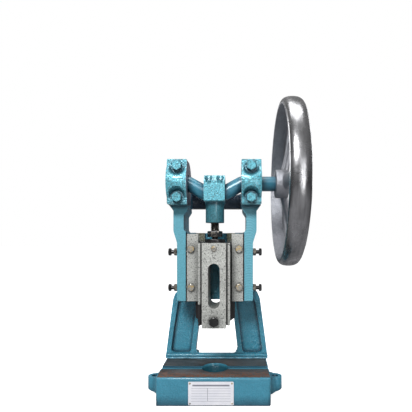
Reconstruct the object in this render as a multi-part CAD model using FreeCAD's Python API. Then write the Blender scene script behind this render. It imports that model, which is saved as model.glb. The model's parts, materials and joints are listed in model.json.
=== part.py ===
import FreeCAD, Part
import math
import os

from FreeCAD import Vector

# Crank press with a handwheel, all sizes in millimetres.
# +X points at the handwheel, +Y to the back, +Z up. The origin is on the bench,
# on the axis of the ram and of the round hole through the base.

# Base casting
BASE_HALF_WIDTH = 110.0
BASE_FRONT = -57.5
BASE_BACK = 98.0
BASE_TOP = 54.0
BASE_EDGE = 6.0
BOLSTER_RADIUS = 27.5
CHANNEL_HALF_WIDTH = 8.5
CHANNEL_DEPTH = 3.0
LUG_HOLE_X = 123.5
LUG_RADIUS = 14.0
LUG_HOLE_RADIUS = 6.5
LUG_TOP = 38.0
LUG_BOTTOM = 8.0
LUG_ROOT = 26.0
LUG_RISE = (6.0, 14.0)
BASE_BOLT_X = (62.0, 100.0)
BASE_BOLT_Y = 80.0
SOCKET_HEAD = (8.0, 10.0)
SOCKET_FLATS = 8.0
SOCKET_DEPTH = 5.0
HEAD_POCKET = (9.0, 12.0)
BASE_BOLT_END = 68.0

# Upright casting: two splayed legs that carry the head
LEG_FRONT = 62.0
FOOT_TOP = 64.0
FOOT_FRONT = 59.0
FOOT_BACK = 96.0
FOOT_HALF_WIDTH = 114.0
FOOT_BAR_BACK = 69.0
FOOT_PAD_INNER = 42.0
FOOT_WINDOW = 46.5
FOOT_REAR = 95.0
COLUMN_REAR = 84.0
RIB = 10.0
PANEL_DEPTH = 13.0
REAR_PANEL_DEPTH = 10.0
CASTING_DEPTH = 130.0
CROSS_RIB_FRONT = 50.0
CROSS_RIB_BACK = 70.0
CROSS_RIB_TOP = 410.0
CROSS_RIB_CURVE = 170.0
HEAD_BOTTOM = 190.0
WALL_TOP = 332.0
COLUMN_TOP = 387.0
CHEEK_HALF_WIDTH = 78.3
COLUMN_HALF_WIDTH = 85.7
COLUMN_INNER = 64.6
CHANNEL_WALL = 41.5
WAY_FACE = 36.2
WALL_FRONT = 42.0
WALL_BACK = 64.0

# Crankshaft, its two journals and their caps
SHAFT_Z = 432.0
THROW = 18.0
PIN_Z = SHAFT_Z - THROW
SHAFT_RADIUS = 15.0
RUNNING_GAP = 0.05
BUSH_RADIUS = 18.0
BUSH_RECESS = 4.5
JOURNAL_INNER = 54.0
JOURNAL_OUTER = 94.0
CAP_HALF_HEIGHT = 45.0
CAP_FLANGE = 28.0
CAP_BULGE_RADIUS = 42.0
CAP_BOLT_OFFSET = 31.2
CAP_BOLT_X = 73.5
CAP_SCALLOP_RADIUS = 13.5
CAP_SCALLOP_FLARE = 0.62
WASHER = (9.6, 2.0)
HOUSING_RADIUS = 45.0
HOUSING_DEPTH = 32.0

# Connecting rod
ROD_HALF_WIDTH = 20.8
ROD_HALF_DEPTH = 29.0
ROD_SHOULDER = 20.5
ROD_TOP = 33.0
SLEEVE_RADIUS = 19.0
SLEEVE_BOTTOM = 352.0
ROD_BOLT_X = 11.5
ROD_BOLT_Y = 23.0
ROD_BOLT_SEAT = 16.0
ROD_POCKET_RADIUS = 7.8

# Adjusting screw with a ball end, and its seat in the ram
SCREW_RADIUS = 9.0
SCREW_TOP = 386.0
HEX_BOTTOM = 323.0
HEX_TOP = 335.0
HEX_FLATS = 27.0
NECK_RADIUS = 6.0
BALL_Z = 295.0
BALL_RADIUS = 11.0
POCKET_RADIUS = 13.0
POCKET_FLOOR = 275.0
SEAT_TOP = 280.0
RETAINER_TOP = 318.5

# Ram
RAM_TOP = 310.5
RAM_BOTTOM = 143.0
RAM_SIDE_BOTTOM = 148.0
RAM_FRONT = -38.0
RAM_BACK = 36.0
RAM_FACE = 23.5
RAM_GROOVE = 27.0
RAM_STEP = 31.5
RAM_FLANGE = 41.0
RAM_GROOVE_DEPTH = 8.0
RAM_STEP_DEPTH = 4.0
SLOT_RADIUS = 11.5
SLOT_BOTTOM = 182.0
SLOT_TOP = 270.0
SHANK_RADIUS = 10.0
SHANK_DEPTH = 32.0
CLAMP_Z = 156.5
LOCK_SCREW_Z = 299.0

# Gibs
GIB_INNER = 34.1
GIB_OUTER = 58.3
GIB_RECESS = 60.4
GIB_THICK = 12.0
GIB_TOP = 329.5
GIB_BOLT_X = 49.3
GIB_BOLT_Z = (219.0, 298.0)
GIB_SCREW_Z = (218.0, 292.0)
GIB_SCREW_Y = 6.0
SLIDE_GAP = 0.1

# Handwheel
WHEEL_RADIUS = 168.0
RIM_LEFT = 130.5
RIM_RIGHT = 168.5
RIM_INNER_LEFT = 154.0
RIM_INNER_RIGHT = 148.0
RIM_WEB_RADIUS = 108.0
RIM_WEB_THICK = 9.0
HUB_LEFT = 123.5
HUB_RIGHT = 150.0
HUB_RADIUS = 29.0
WHEEL_SEAT_RADIUS = 12.0
WHEEL_NUT = (8.0, 24.0, 13.0)
WHEEL_WASHER = (15.0, 3.0)
SPOKE_ANGLES = (4.0, 124.0, 244.0)

# Nameplate
PLATE_LEFT = -47.5
PLATE_RIGHT = 39.0
PLATE_BOTTOM = 2.5
PLATE_TOP = 47.0
PLATE_THICK = 0.8

# Screws: thread radius, width across flats and head height
M10 = (5.0, 17.0, 7.0)
M8 = (4.0, 13.0, 5.5)

AXES = {"X": Vector(1, 0, 0), "Y": Vector(0, 1, 0), "Z": Vector(0, 0, 1)}


def box(x0, x1, y0, y1, z0, z1):
    """A block between two corners."""
    return Part.makeBox(x1 - x0, y1 - y0, z1 - z0, Vector(x0, y0, z0))


def rod(axis, radius, start, length):
    """A round bar from a start point along an axis."""
    return Part.makeCylinder(radius, length, Vector(*start), AXES[axis])


def cone(axis, radius, end_radius, start, length):
    """A tapered round bar from a start point along an axis."""
    return Part.makeCone(radius, end_radius, length, Vector(*start), AXES[axis])


def fuse(shapes):
    """One shape from several that touch or overlap."""
    first, rest = shapes[0], shapes[1:]
    return first.fuse(rest).removeSplitter() if rest else first


def cut(shape, tools):
    """A shape with several others taken out of it."""
    return shape.cut(tools)


def mirror_x(shape):
    """The same piece on the other side of the press."""
    return shape.mirror(Vector(0, 0, 0), AXES["X"])


def both_sides(shape):
    """A piece and its mirror image."""
    return [shape, mirror_x(shape)]


def in_plane(plane, u, v, depth):
    """A point given by two coordinates in a plane and one across it."""
    if plane == "XZ":
        return Vector(u, depth, v)
    if plane == "YZ":
        return Vector(depth, u, v)
    return Vector(u, v, depth)


def prism(plane, corners, start, end):
    """Extrude an outline whose corners are (u, v) or (u, v, radius)."""
    count = len(corners)
    flat = [Vector(c[0], c[1], 0) for c in corners]
    radii = [c[2] if len(c) > 2 else 0.0 for c in corners]
    edges = []
    ends = []
    for i in range(count):
        point = flat[i]
        before = (flat[i - 1] - point).normalize()
        after = (flat[(i + 1) % count] - point).normalize()
        if radii[i] == 0.0:
            ends.append((point, point, None))
            continue
        half = before.getAngle(after) / 2.0
        reach = radii[i] / math.tan(half)
        middle = (before + after).normalize()
        centre = point + middle * (radii[i] / math.sin(half))
        ends.append((point + before * reach, point + after * reach, centre - middle * radii[i]))
    for i in range(count):
        arrive, leave, arc = ends[i]
        if arc is not None:
            points = [in_plane(plane, p.x, p.y, start) for p in (arrive, arc, leave)]
            edges.append(Part.Arc(*points).toShape())
        target = ends[(i + 1) % count][0]
        if (target - leave).Length > 1e-6:
            line = [in_plane(plane, p.x, p.y, start) for p in (leave, target)]
            edges.append(Part.makeLine(*line))
    across = in_plane(plane, 0, 0, end) - in_plane(plane, 0, 0, start)
    return Part.Face(Part.Wire(edges)).extrude(across)


def hexagon(axis, flats, start, length):
    """A hexagonal bar from a start point along an axis."""
    radius = flats / math.sqrt(3.0)
    plane = {"X": "YZ", "Y": "XZ", "Z": "XY"}[axis]
    centre = {"X": (start[1], start[2]), "Y": (start[0], start[2]), "Z": (start[0], start[1])}[axis]
    depth = {"X": start[0], "Y": start[1], "Z": start[2]}[axis]
    corners = []
    for i in range(6):
        angle = math.radians(60 * i + 30)
        corners.append((centre[0] + radius * math.cos(angle), centre[1] + radius * math.sin(angle)))
    return prism(plane, corners, depth, depth + length)


def chamfered_hexagon(axis, flats, start, length):
    """A hexagonal bar with the corners of its far end turned off at 30 degrees."""
    bar = hexagon(axis, flats, start, length)
    direction = 1.0 if length > 0 else -1.0
    outer = flats / math.sqrt(3.0)
    end_radius = flats / 2.0 * 0.95
    reach = abs(length)
    drop = (outer - end_radius) * math.tan(math.radians(30.0))
    bulk = Part.makeCylinder(outer + 1.0, reach - drop, Vector(*start), AXES[axis] * direction)
    shoulder = Vector(*start) + AXES[axis] * (direction * (reach - drop))
    crown = Part.makeCone(outer, end_radius, drop, shoulder, AXES[axis] * direction)
    return bar.common(bulk.fuse(crown))


def hex_bolt(axis, size, seat, head_way, length):
    """A hexagon bolt: its head points along head_way, its shank the other way."""
    radius, flats, height = size
    head = chamfered_hexagon(axis, flats, seat, head_way * height)
    shank = Part.makeCylinder(radius, length, Vector(*seat), AXES[axis] * -head_way)
    return head.fuse(shank).removeSplitter()


def hex_nut(axis, size, start, thickness):
    """A hexagon nut that fits close round its screw."""
    radius, flats, _ = size
    blank = chamfered_hexagon(axis, flats, start, thickness)
    return blank.cut(rod(axis, radius, start, thickness))


def stadium(plane, u0, u1, v0, v1, start, end):
    """A slot shape whose two short ends are full half circles."""
    radius = min(u1 - u0, v1 - v0) / 2.0 - 1e-4
    corners = [(u0, v0, radius), (u1, v0, radius), (u1, v1, radius), (u0, v1, radius)]
    return prism(plane, corners, start, end)


def make_base():
    """The base casting: a thick bed with a round hole, a cross channel and two lugs."""
    half = BASE_HALF_WIDTH
    plan = [(-half, BASE_FRONT, BASE_EDGE), (half, BASE_FRONT, BASE_EDGE)]
    plan += [(half, BASE_BACK, BASE_EDGE), (-half, BASE_BACK, BASE_EDGE)]
    body = prism("XY", plan, 0.0, BASE_TOP)
    side = [(BASE_FRONT, 0.0, 2.0), (BASE_BACK, 0.0, 2.0)]
    side += [(BASE_BACK, BASE_TOP, 4.0), (BASE_FRONT, BASE_TOP, 4.0)]
    body = body.common(prism("YZ", side, -half, half))
    lug = fuse([
        rod("Z", LUG_RADIUS, (LUG_HOLE_X, 0, LUG_BOTTOM), LUG_TOP - LUG_BOTTOM),
        prism("XY", [(half - 1, -LUG_ROOT), (LUG_HOLE_X, -LUG_RADIUS), (LUG_HOLE_X, LUG_RADIUS),
                     (half - 1, LUG_ROOT)], LUG_BOTTOM, LUG_TOP),
    ])
    outer = LUG_HOLE_X + LUG_RADIUS + 1.0
    inner_rise, outer_rise = LUG_RISE
    slope = prism("XZ", [(half - 2, 0), (outer, 0), (outer, outer_rise), (half - 2, inner_rise)],
                  -LUG_ROOT - 1, LUG_ROOT + 1)
    lug = lug.cut(slope)
    body = fuse([body] + both_sides(lug))
    holes = [rod("Z", BOLSTER_RADIUS, (0, 0, -1), BASE_TOP + 2)]
    holes += [rod("Z", LUG_HOLE_RADIUS, (x, 0, -1), BASE_TOP) for x in (-LUG_HOLE_X, LUG_HOLE_X)]
    holes.append(box(-half - 1, half + 1, -CHANNEL_HALF_WIDTH, CHANNEL_HALF_WIDTH,
                     BASE_TOP - CHANNEL_DEPTH, BASE_TOP + 1))
    for x, y in base_bolt_places():
        holes.append(rod("Z", HEAD_POCKET[0], (x, y, -1), HEAD_POCKET[1] + 1))
        holes.append(rod("Z", M10[0], (x, y, 0), BASE_TOP + 1))
    return cut(body, holes)


def base_bolt_places():
    """Where the four screws hold the upright down on the base."""
    return [(side * x, BASE_BOLT_Y) for side in (-1, 1) for x in BASE_BOLT_X]


def make_base_bolts():
    """Socket screws let into the underside of the base."""
    bolts = []
    radius, height = SOCKET_HEAD
    bottom = HEAD_POCKET[1] - height
    for x, y in base_bolt_places():
        head = rod("Z", radius, (x, y, bottom), height)
        head = head.cut(hexagon("Z", SOCKET_FLATS, (x, y, bottom), SOCKET_DEPTH))
        shank = rod("Z", M10[0], (x, y, bottom + height), BASE_BOLT_END - bottom - height)
        bolts.append(head.fuse(shank).removeSplitter())
    return Part.makeCompound(bolts)


def leg_outline(inset):
    """One leg seen from the front, drawn in by an inset."""
    return [
        (48.0 + inset, FOOT_TOP - 1.0 + 0.15 * inset, 0.9 * inset),
        (40.8 + inset, 125.0),
        (31.5 + inset, 206.0 - inset, 0.9 * inset),
        (79.0 - inset, 206.0 - inset),
        (92.0 - inset, 199.0 - inset, 7.0),
        (97.0 - inset, 186.0 - inset, 10.0),
        (105.0 - inset, 125.0),
        (113.0 - inset, FOOT_TOP - 1.0 + 0.15 * inset, 0.9 * inset),
    ]


def side_profile():
    """The upright seen from the side."""
    return [
        (LEG_FRONT, BASE_TOP),
        (FOOT_REAR, BASE_TOP, 3.0),
        (COLUMN_REAR, COLUMN_TOP, 18.0),
        (HOUSING_DEPTH, COLUMN_TOP + 14.0, 10.0),
        (0.0, COLUMN_TOP + 14.0),
        (0.0, HEAD_BOTTOM, 2.0),
        (LEG_FRONT, HEAD_BOTTOM, 16.0),
    ]


def rear_line(z):
    """How far back the sloping rear face of the upright is at a height."""
    return FOOT_REAR + (COLUMN_REAR - FOOT_REAR) * (z - BASE_TOP) / (COLUMN_TOP - BASE_TOP)


def make_upright():
    """The upright casting: foot, legs, cheeks, back wall, cross rib and journal housings."""
    foot = make_foot()
    leg = prism("XZ", leg_outline(0.0), LEG_FRONT, CASTING_DEPTH)
    column = prism("XZ", [
        (CHANNEL_WALL, HEAD_BOTTOM),
        (CHEEK_HALF_WIDTH, HEAD_BOTTOM, 4.0),
        (CHEEK_HALF_WIDTH, 311.0, 20.0),
        (COLUMN_HALF_WIDTH, 335.0, 20.0),
        (COLUMN_HALF_WIDTH, COLUMN_TOP + 14.0),
        (57.5, COLUMN_TOP + 14.0),
        (57.5, 379.0, 6.0),
        (COLUMN_INNER, 368.0, 6.0),
        (COLUMN_INNER, WALL_TOP, 9.0),
        (CHANNEL_WALL, WALL_TOP),
    ], 0.0, CASTING_DEPTH)
    profile = prism("YZ", side_profile(), 0.0, CASTING_DEPTH)
    side = fuse([leg, column]).common(profile)
    panel = prism("XZ", leg_outline(RIB), LEG_FRONT - 1.0, LEG_FRONT + PANEL_DEPTH)
    rear = prism("XZ", leg_outline(RIB + 1.0), 0.0, CASTING_DEPTH)
    slanted = prism("YZ", [(rear_line(z) + d, z) for z, d in
                           ((FOOT_TOP, -REAR_PANEL_DEPTH), (FOOT_TOP, 9.0), (210.0, 9.0),
                            (210.0, -REAR_PANEL_DEPTH))], 0.0, CASTING_DEPTH)
    side = cut(side, [panel, rear.common(slanted)])
    recess = box(CHANNEL_WALL - 1, GIB_RECESS, -1, GIB_THICK, HEAD_BOTTOM - 1, WALL_TOP + 1)
    rear_pocket = prism("XZ", [(CHANNEL_WALL + 10, 226, 8), (CHEEK_HALF_WIDTH - 9, 226, 8),
                               (CHEEK_HALF_WIDTH - 9, 318, 8), (CHANNEL_WALL + 10, 318, 8)],
                        WALL_BACK + 2.0, CASTING_DEPTH)
    side = cut(side, [recess, rear_pocket])
    housing = rod("X", HOUSING_RADIUS, (JOURNAL_INNER, 0, SHAFT_Z), JOURNAL_OUTER - JOURNAL_INNER)
    housing = housing.common(box(0, 200, 0, HOUSING_DEPTH + 8.0, 300, 500))
    saddle = prism("XZ", [(JOURNAL_INNER, SHAFT_Z), (JOURNAL_INNER, COLUMN_TOP + 2.0, 2.0),
                          (57.5, 379.0, 4.0), (COLUMN_HALF_WIDTH - 4.0, 372.0),
                          (COLUMN_HALF_WIDTH, 377.0, 2.0), (JOURNAL_OUTER, COLUMN_TOP + 1.0, 2.0),
                          (JOURNAL_OUTER, SHAFT_Z)], 0.0, HOUSING_DEPTH)
    side = fuse([side, housing, saddle])
    wall = box(-CHANNEL_WALL - 1, CHANNEL_WALL + 1, WALL_FRONT, WALL_BACK, HEAD_BOTTOM - 2, WALL_TOP)
    way = box(24.0, CHANNEL_WALL + 1, WAY_FACE, WALL_FRONT + 1, HEAD_BOTTOM - 2, WALL_TOP)
    rib_box = box(-COLUMN_INNER - 4, COLUMN_INNER + 4, CROSS_RIB_FRONT, CROSS_RIB_BACK,
                  COLUMN_TOP - 1, CROSS_RIB_TOP + 10.0)
    hollow = rod("Y", CROSS_RIB_CURVE, (0, 40, CROSS_RIB_TOP + CROSS_RIB_CURVE), 50.0)
    rib = rib_box.cut(hollow)
    rib = rib.common(box(-JOURNAL_INNER - 10, JOURNAL_INNER + 10, 40, 90, 380, 420))
    rib_ends = prism("XZ", [(JOURNAL_INNER + 3, 380), (COLUMN_HALF_WIDTH, 380),
                            (COLUMN_HALF_WIDTH, 408, 6), (JOURNAL_INNER + 3, 414, 4)],
                     HOUSING_DEPTH - 4, CROSS_RIB_BACK)
    body = fuse([foot] + both_sides(side) + [wall] + both_sides(way) + [rib] + both_sides(rib_ends))
    bore = rod("X", BUSH_RADIUS, (-JOURNAL_OUTER - 1, 0, SHAFT_Z), 2 * JOURNAL_OUTER + 2)
    holes = [bore]
    for x in (-CAP_BOLT_X, CAP_BOLT_X):
        for z in (SHAFT_Z - CAP_BOLT_OFFSET, SHAFT_Z + CAP_BOLT_OFFSET):
            holes.append(rod("Y", M10[0], (x, -1, z), 25.0))
    for x in (-GIB_BOLT_X, GIB_BOLT_X):
        for z in GIB_BOLT_Z:
            holes.append(rod("Y", M8[0], (x, 0, z), 34.0))
    for x in (GIB_RECESS - 1, -CHEEK_HALF_WIDTH - 1):
        for z in GIB_SCREW_Z:
            holes.append(rod("X", M8[0], (x, GIB_SCREW_Y, z), CHEEK_HALF_WIDTH - GIB_RECESS + 2))
    for x, y in base_bolt_places():
        holes.append(rod("Z", M10[0], (x, y, BASE_TOP - 1), BASE_BOLT_END - BASE_TOP + 2))
    return cut(body, holes)


def make_foot():
    """The foot of the upright: a pad under each leg and a thin bar with rounded corners between them."""
    pads = []
    for side in (-1, 1):
        corners = [(side * FOOT_PAD_INNER, FOOT_FRONT), (side * FOOT_HALF_WIDTH, FOOT_FRONT, 5.0),
                   (side * FOOT_HALF_WIDTH, FOOT_BACK, 5.0), (side * FOOT_PAD_INNER, FOOT_BACK, 3.0)]
        pads.append(prism("XY", corners, BASE_TOP, FOOT_TOP))
    pads.append(box(-FOOT_WINDOW, FOOT_WINDOW, FOOT_FRONT, FOOT_BAR_BACK, BASE_TOP, FOOT_TOP))
    foot = fuse(pads)
    foot = foot.makeFillet(4.0, [e for e in foot.Edges if is_flat_at(e, FOOT_TOP)
                                 and e.BoundBox.YMax - FOOT_FRONT < 1e-4])
    corner_block = box(-FOOT_WINDOW - 8, FOOT_WINDOW + 8, LEG_FRONT, FOOT_BAR_BACK, FOOT_TOP - 2, FOOT_TOP + 12)
    window = prism("XZ", [(-FOOT_WINDOW, FOOT_TOP, 9.0), (FOOT_WINDOW, FOOT_TOP, 9.0),
                          (FOOT_WINDOW - 2, FOOT_TOP + 20), (2 - FOOT_WINDOW, FOOT_TOP + 20)], 50.0, 90.0)
    return fuse([foot, corner_block.cut(window)])


def is_flat_at(edge, z):
    """True for an edge that lies level at a height."""
    limits = edge.BoundBox
    return abs(limits.ZMin - z) < 1e-4 and abs(limits.ZMax - z) < 1e-4


def make_bearing_cap():
    """The right journal cap: a flange, a half-round bulge and a relief round each bolt."""
    low = SHAFT_Z - CAP_HALF_HEIGHT
    high = SHAFT_Z + CAP_HALF_HEIGHT
    width = JOURNAL_OUTER - JOURNAL_INNER
    flange = prism("XZ", [(JOURNAL_INNER, low, 2.0), (JOURNAL_OUTER, low, 3.0),
                          (JOURNAL_OUTER, high, 2.0), (JOURNAL_INNER, high, 2.0)], -CAP_FLANGE, 0.0)
    bulge = rod("X", CAP_BULGE_RADIUS, (JOURNAL_INNER, 0, SHAFT_Z), width)
    bulge = bulge.common(box(0, 200, -CAP_BULGE_RADIUS - 1, -1, low, high))
    tools = [rod("X", BUSH_RADIUS, (JOURNAL_INNER - 1, 0, SHAFT_Z), width + 2)]
    relief = CAP_BULGE_RADIUS - CAP_FLANGE + 1.0
    for z in (SHAFT_Z - CAP_BOLT_OFFSET, SHAFT_Z + CAP_BOLT_OFFSET):
        way = Vector(0, -1, 0)
        seat = Vector(CAP_BOLT_X, -CAP_FLANGE, z)
        wide = CAP_SCALLOP_RADIUS + CAP_SCALLOP_FLARE * relief
        tools.append(Part.makeCone(CAP_SCALLOP_RADIUS, wide, relief, seat, way))
        tools.append(rod("Y", M10[0], (CAP_BOLT_X, -CAP_FLANGE - 1, z), CAP_FLANGE + 2))
    return cut(flange.fuse(bulge).removeSplitter(), tools)


def make_cap_bolts():
    """The four bolts of the journal caps."""
    bolts = []
    for x in (-CAP_BOLT_X, CAP_BOLT_X):
        for z in (SHAFT_Z - CAP_BOLT_OFFSET, SHAFT_Z + CAP_BOLT_OFFSET):
            bolts.append(hex_bolt("Y", M10, (x, -CAP_FLANGE - WASHER[1], z), -1, CAP_FLANGE + 22.0))
    return Part.makeCompound(bolts)


def make_cap_washers():
    """A washer under each journal cap bolt."""
    washers = []
    for x in (-CAP_BOLT_X, CAP_BOLT_X):
        for z in (SHAFT_Z - CAP_BOLT_OFFSET, SHAFT_Z + CAP_BOLT_OFFSET):
            start = (x, -CAP_FLANGE - WASHER[1], z)
            washers.append(rod("Y", WASHER[0], start, WASHER[1]).cut(rod("Y", M10[0], start, WASHER[1])))
    return Part.makeCompound(washers)


def half_bush(x0, x1, z, plane, way):
    """Half of a split bronze bush about the X direction, on one side of its split."""
    ring = rod("X", BUSH_RADIUS, (x0, 0, z), x1 - x0)
    ring = ring.cut(rod("X", SHAFT_RADIUS + RUNNING_GAP, (x0, 0, z), x1 - x0))
    span = 40.0
    if plane == "Y":
        limits = (x0, x1, 0, span, z - span, z + span) if way > 0 else (x0, x1, -span, 0, z - span, z + span)
    else:
        limits = (x0, x1, -span, span, z, z + span) if way > 0 else (x0, x1, -span, span, z - span, z)
    return ring.common(box(*limits))


def make_crankshaft():
    """A bent round bar: two journals, two sloping arms, the crank pin and the wheel seat."""
    bend = JOURNAL_INNER
    pin_end = ROD_HALF_WIDTH + 0.2
    radius = SHAFT_RADIUS
    parts = [rod("X", radius, (-JOURNAL_OUTER + 0.5, 0, SHAFT_Z), JOURNAL_OUTER - 0.5 - bend)]
    parts.append(rod("X", radius, (bend, 0, SHAFT_Z), HUB_LEFT - bend))
    parts.append(rod("X", radius, (-pin_end, 0, PIN_Z), 2 * pin_end))
    for side in (-1, 1):
        start = Vector(side * bend, 0, SHAFT_Z)
        end = Vector(side * pin_end, 0, PIN_Z)
        parts.append(Part.makeCylinder(radius, (end - start).Length, start, end - start))
        parts.append(Part.makeSphere(radius, start))
        parts.append(Part.makeSphere(radius, end))
    parts.append(rod("X", WHEEL_SEAT_RADIUS, (HUB_LEFT - 1, 0, SHAFT_Z), HUB_RIGHT - HUB_LEFT))
    parts.append(rod("X", WHEEL_NUT[0], (HUB_RIGHT - 3, 0, SHAFT_Z), 21.0))
    return cut(fuse(parts), [wheel_key()])


def wheel_key():
    """The key between the shaft and the wheel's hub."""
    return box(HUB_LEFT + 2, HUB_RIGHT - 4, -3, 3,
               SHAFT_Z + WHEEL_SEAT_RADIUS - 3, SHAFT_Z + WHEEL_SEAT_RADIUS + 2.5)


def make_handwheel():
    """A cast handwheel: a deep rounded rim with an inner web, three flat arms and a hub."""
    web_left = RIM_RIGHT - RIM_WEB_THICK
    section = [(RIM_LEFT, RIM_INNER_LEFT, 4.0), (web_left - 2.0, RIM_INNER_RIGHT, 7.0),
               (web_left, RIM_WEB_RADIUS, 3.0), (RIM_RIGHT - 1.0, RIM_WEB_RADIUS, 3.0),
               (RIM_RIGHT, WHEEL_RADIUS, 17.0), (RIM_LEFT, WHEEL_RADIUS, 10.0)]
    slab = prism("XZ", [(c[0], SHAFT_Z + c[1], c[2]) for c in section], 0.0, 1.0)
    face = [f for f in slab.Faces if abs(f.CenterOfMass.y) < 1e-6][0]
    axis = Vector(0, 0, SHAFT_Z)
    rim = face.revolve(axis, AXES["X"], 360.0)
    hub = rod("X", HUB_RADIUS, (HUB_LEFT, 0, SHAFT_Z), HUB_RIGHT - HUB_LEFT)
    hub = hub.makeFillet(2.5, [e for e in hub.Edges if len(e.Vertexes) == 1])
    parts = [rim, hub]
    for angle in SPOKE_ANGLES:
        arm = make_arm(web_left)
        arm.rotate(axis, AXES["X"], 90.0 - angle)
        parts.append(arm)
    return cut(fuse(parts), [rod("X", WHEEL_SEAT_RADIUS, (HUB_LEFT - 1, 0, SHAFT_Z), 40.0), wheel_key()])


def make_arm(web_left):
    """One arm of the handwheel, straight up from the hub to the web of the rim."""
    stations = [(20.0, 16.0, 7.5, HUB_RIGHT - 9.0), (70.0, 12.5, 6.5, HUB_RIGHT + 3.0),
                (RIM_WEB_RADIUS + 4.0, 14.0, 5.5, web_left + 2.0)]
    sections = []
    for distance, half_wide, half_thick, x in stations:
        oval = Part.Ellipse(Vector(0, 0, 0), half_wide, half_thick).toShape()
        oval.Placement = FreeCAD.Placement(Vector(x, 0, SHAFT_Z + distance),
                                           FreeCAD.Rotation(AXES["Z"], 90.0))
        sections.append(Part.Wire([oval]))
    return Part.makeLoft(sections, True, False)


def make_wheel_nut():
    """The nut that holds the wheel on the shaft."""
    return hex_nut("X", WHEEL_NUT, (HUB_RIGHT + WHEEL_WASHER[1], 0, SHAFT_Z), WHEEL_NUT[2])


def make_wheel_washer():
    """The washer between the wheel's hub and its nut."""
    start = (HUB_RIGHT, 0, SHAFT_Z)
    radius, thick = WHEEL_WASHER
    return rod("X", radius, start, thick).cut(rod("X", WHEEL_NUT[0], start, thick))


def rod_bolt_places():
    """Where the four bolts hold the rod's upper cap."""
    return [(x, y) for x in (-ROD_BOLT_X, ROD_BOLT_X) for y in (-ROD_BOLT_Y, ROD_BOLT_Y)]


def make_connecting_rod():
    """The lower half of the big end, with the threaded sleeve for the screw."""
    block = prism("XZ", [(-ROD_HALF_WIDTH, PIN_Z - ROD_SHOULDER, 1.5),
                         (ROD_HALF_WIDTH, PIN_Z - ROD_SHOULDER, 1.5),
                         (ROD_HALF_WIDTH, PIN_Z), (-ROD_HALF_WIDTH, PIN_Z)],
                  -ROD_HALF_DEPTH, ROD_HALF_DEPTH)
    low = PIN_Z - ROD_SHOULDER
    edge = prism("YZ", [(-ROD_HALF_DEPTH, low + 1.8), (-ROD_HALF_DEPTH + 1.8, low),
                        (ROD_HALF_DEPTH - 1.8, low), (ROD_HALF_DEPTH, low + 1.8),
                        (ROD_HALF_DEPTH, PIN_Z), (-ROD_HALF_DEPTH, PIN_Z)], -30.0, 30.0)
    block = block.common(edge)
    neck = cone("Z", SLEEVE_RADIUS, SLEEVE_RADIUS + 1.5, (0, 0, low - 9.0), 9.5)
    sleeve = rod("Z", SLEEVE_RADIUS, (0, 0, SLEEVE_BOTTOM), low - SLEEVE_BOTTOM)
    tools = [rod("X", BUSH_RADIUS, (-30, 0, PIN_Z), 60.0)]
    tools.append(rod("Z", SCREW_RADIUS + RUNNING_GAP, (0, 0, SLEEVE_BOTTOM - 1), SCREW_TOP - SLEEVE_BOTTOM + 4))
    tools += [rod("Z", M8[0], (x, y, PIN_Z - 14), 15.0) for x, y in rod_bolt_places()]
    return cut(fuse([block, neck, sleeve]), tools)


def make_rod_cap():
    """The upper half of the big end, with a pocket for each bolt in its sloping top."""
    slope = ROD_TOP - ROD_SHOULDER
    top = PIN_Z + ROD_TOP
    section = [(-ROD_HALF_DEPTH, PIN_Z), (ROD_HALF_DEPTH, PIN_Z),
               (ROD_HALF_DEPTH, PIN_Z + ROD_SHOULDER, 1.0), (ROD_HALF_DEPTH - slope, top, 3.0),
               (-ROD_HALF_DEPTH + slope, top, 3.0), (-ROD_HALF_DEPTH, PIN_Z + ROD_SHOULDER, 1.0)]
    block = prism("YZ", section, -ROD_HALF_WIDTH, ROD_HALF_WIDTH)
    tools = [rod("X", BUSH_RADIUS, (-30, 0, PIN_Z), 60.0)]
    for x, y in rod_bolt_places():
        tools.append(rod("Z", M8[0], (x, y, PIN_Z - 1), 20.0))
        tools.append(rod("Z", ROD_POCKET_RADIUS, (x, y, PIN_Z + ROD_BOLT_SEAT), 30.0))
    return cut(block, tools)


def make_rod_cap_bolts():
    """The four bolts of the rod's upper cap."""
    size = (M8[0], 12.0, 5.0)
    seat = PIN_Z + ROD_BOLT_SEAT
    return Part.makeCompound([hex_bolt("Z", size, (x, y, seat), 1, 28.0) for x, y in rod_bolt_places()])


def make_adjusting_screw():
    """The ball screw: thread, hexagon for the spanner, neck and ball."""
    pitch = 2.5
    depth = 1.3
    profile = [Vector(0, 0, HEX_TOP - 1), Vector(SCREW_RADIUS - depth, 0, HEX_TOP - 1)]
    turns = int((SCREW_TOP - HEX_TOP) / pitch)
    for i in range(turns):
        z = HEX_TOP + i * pitch
        profile += [Vector(SCREW_RADIUS - depth, 0, z + 0.2), Vector(SCREW_RADIUS, 0, z + 1.1),
                    Vector(SCREW_RADIUS, 0, z + 1.4), Vector(SCREW_RADIUS - depth, 0, z + 2.3)]
    profile += [Vector(SCREW_RADIUS - depth, 0, SCREW_TOP), Vector(0, 0, SCREW_TOP)]
    outline = Part.makePolygon(profile + [profile[0]])
    thread = Part.Face(outline).revolve(Vector(0, 0, 0), AXES["Z"], 360.0)
    middle = (HEX_TOP + HEX_BOTTOM) / 2.0
    upper = chamfered_hexagon("Z", HEX_FLATS, (0, 0, middle), HEX_TOP - middle)
    lower = chamfered_hexagon("Z", HEX_FLATS, (0, 0, middle), HEX_BOTTOM - middle)
    neck = rod("Z", NECK_RADIUS, (0, 0, BALL_Z), HEX_BOTTOM - BALL_Z + 1)
    ball = Part.makeSphere(BALL_RADIUS, Vector(0, 0, BALL_Z))
    return fuse([upper, lower, neck, ball, thread])


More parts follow.
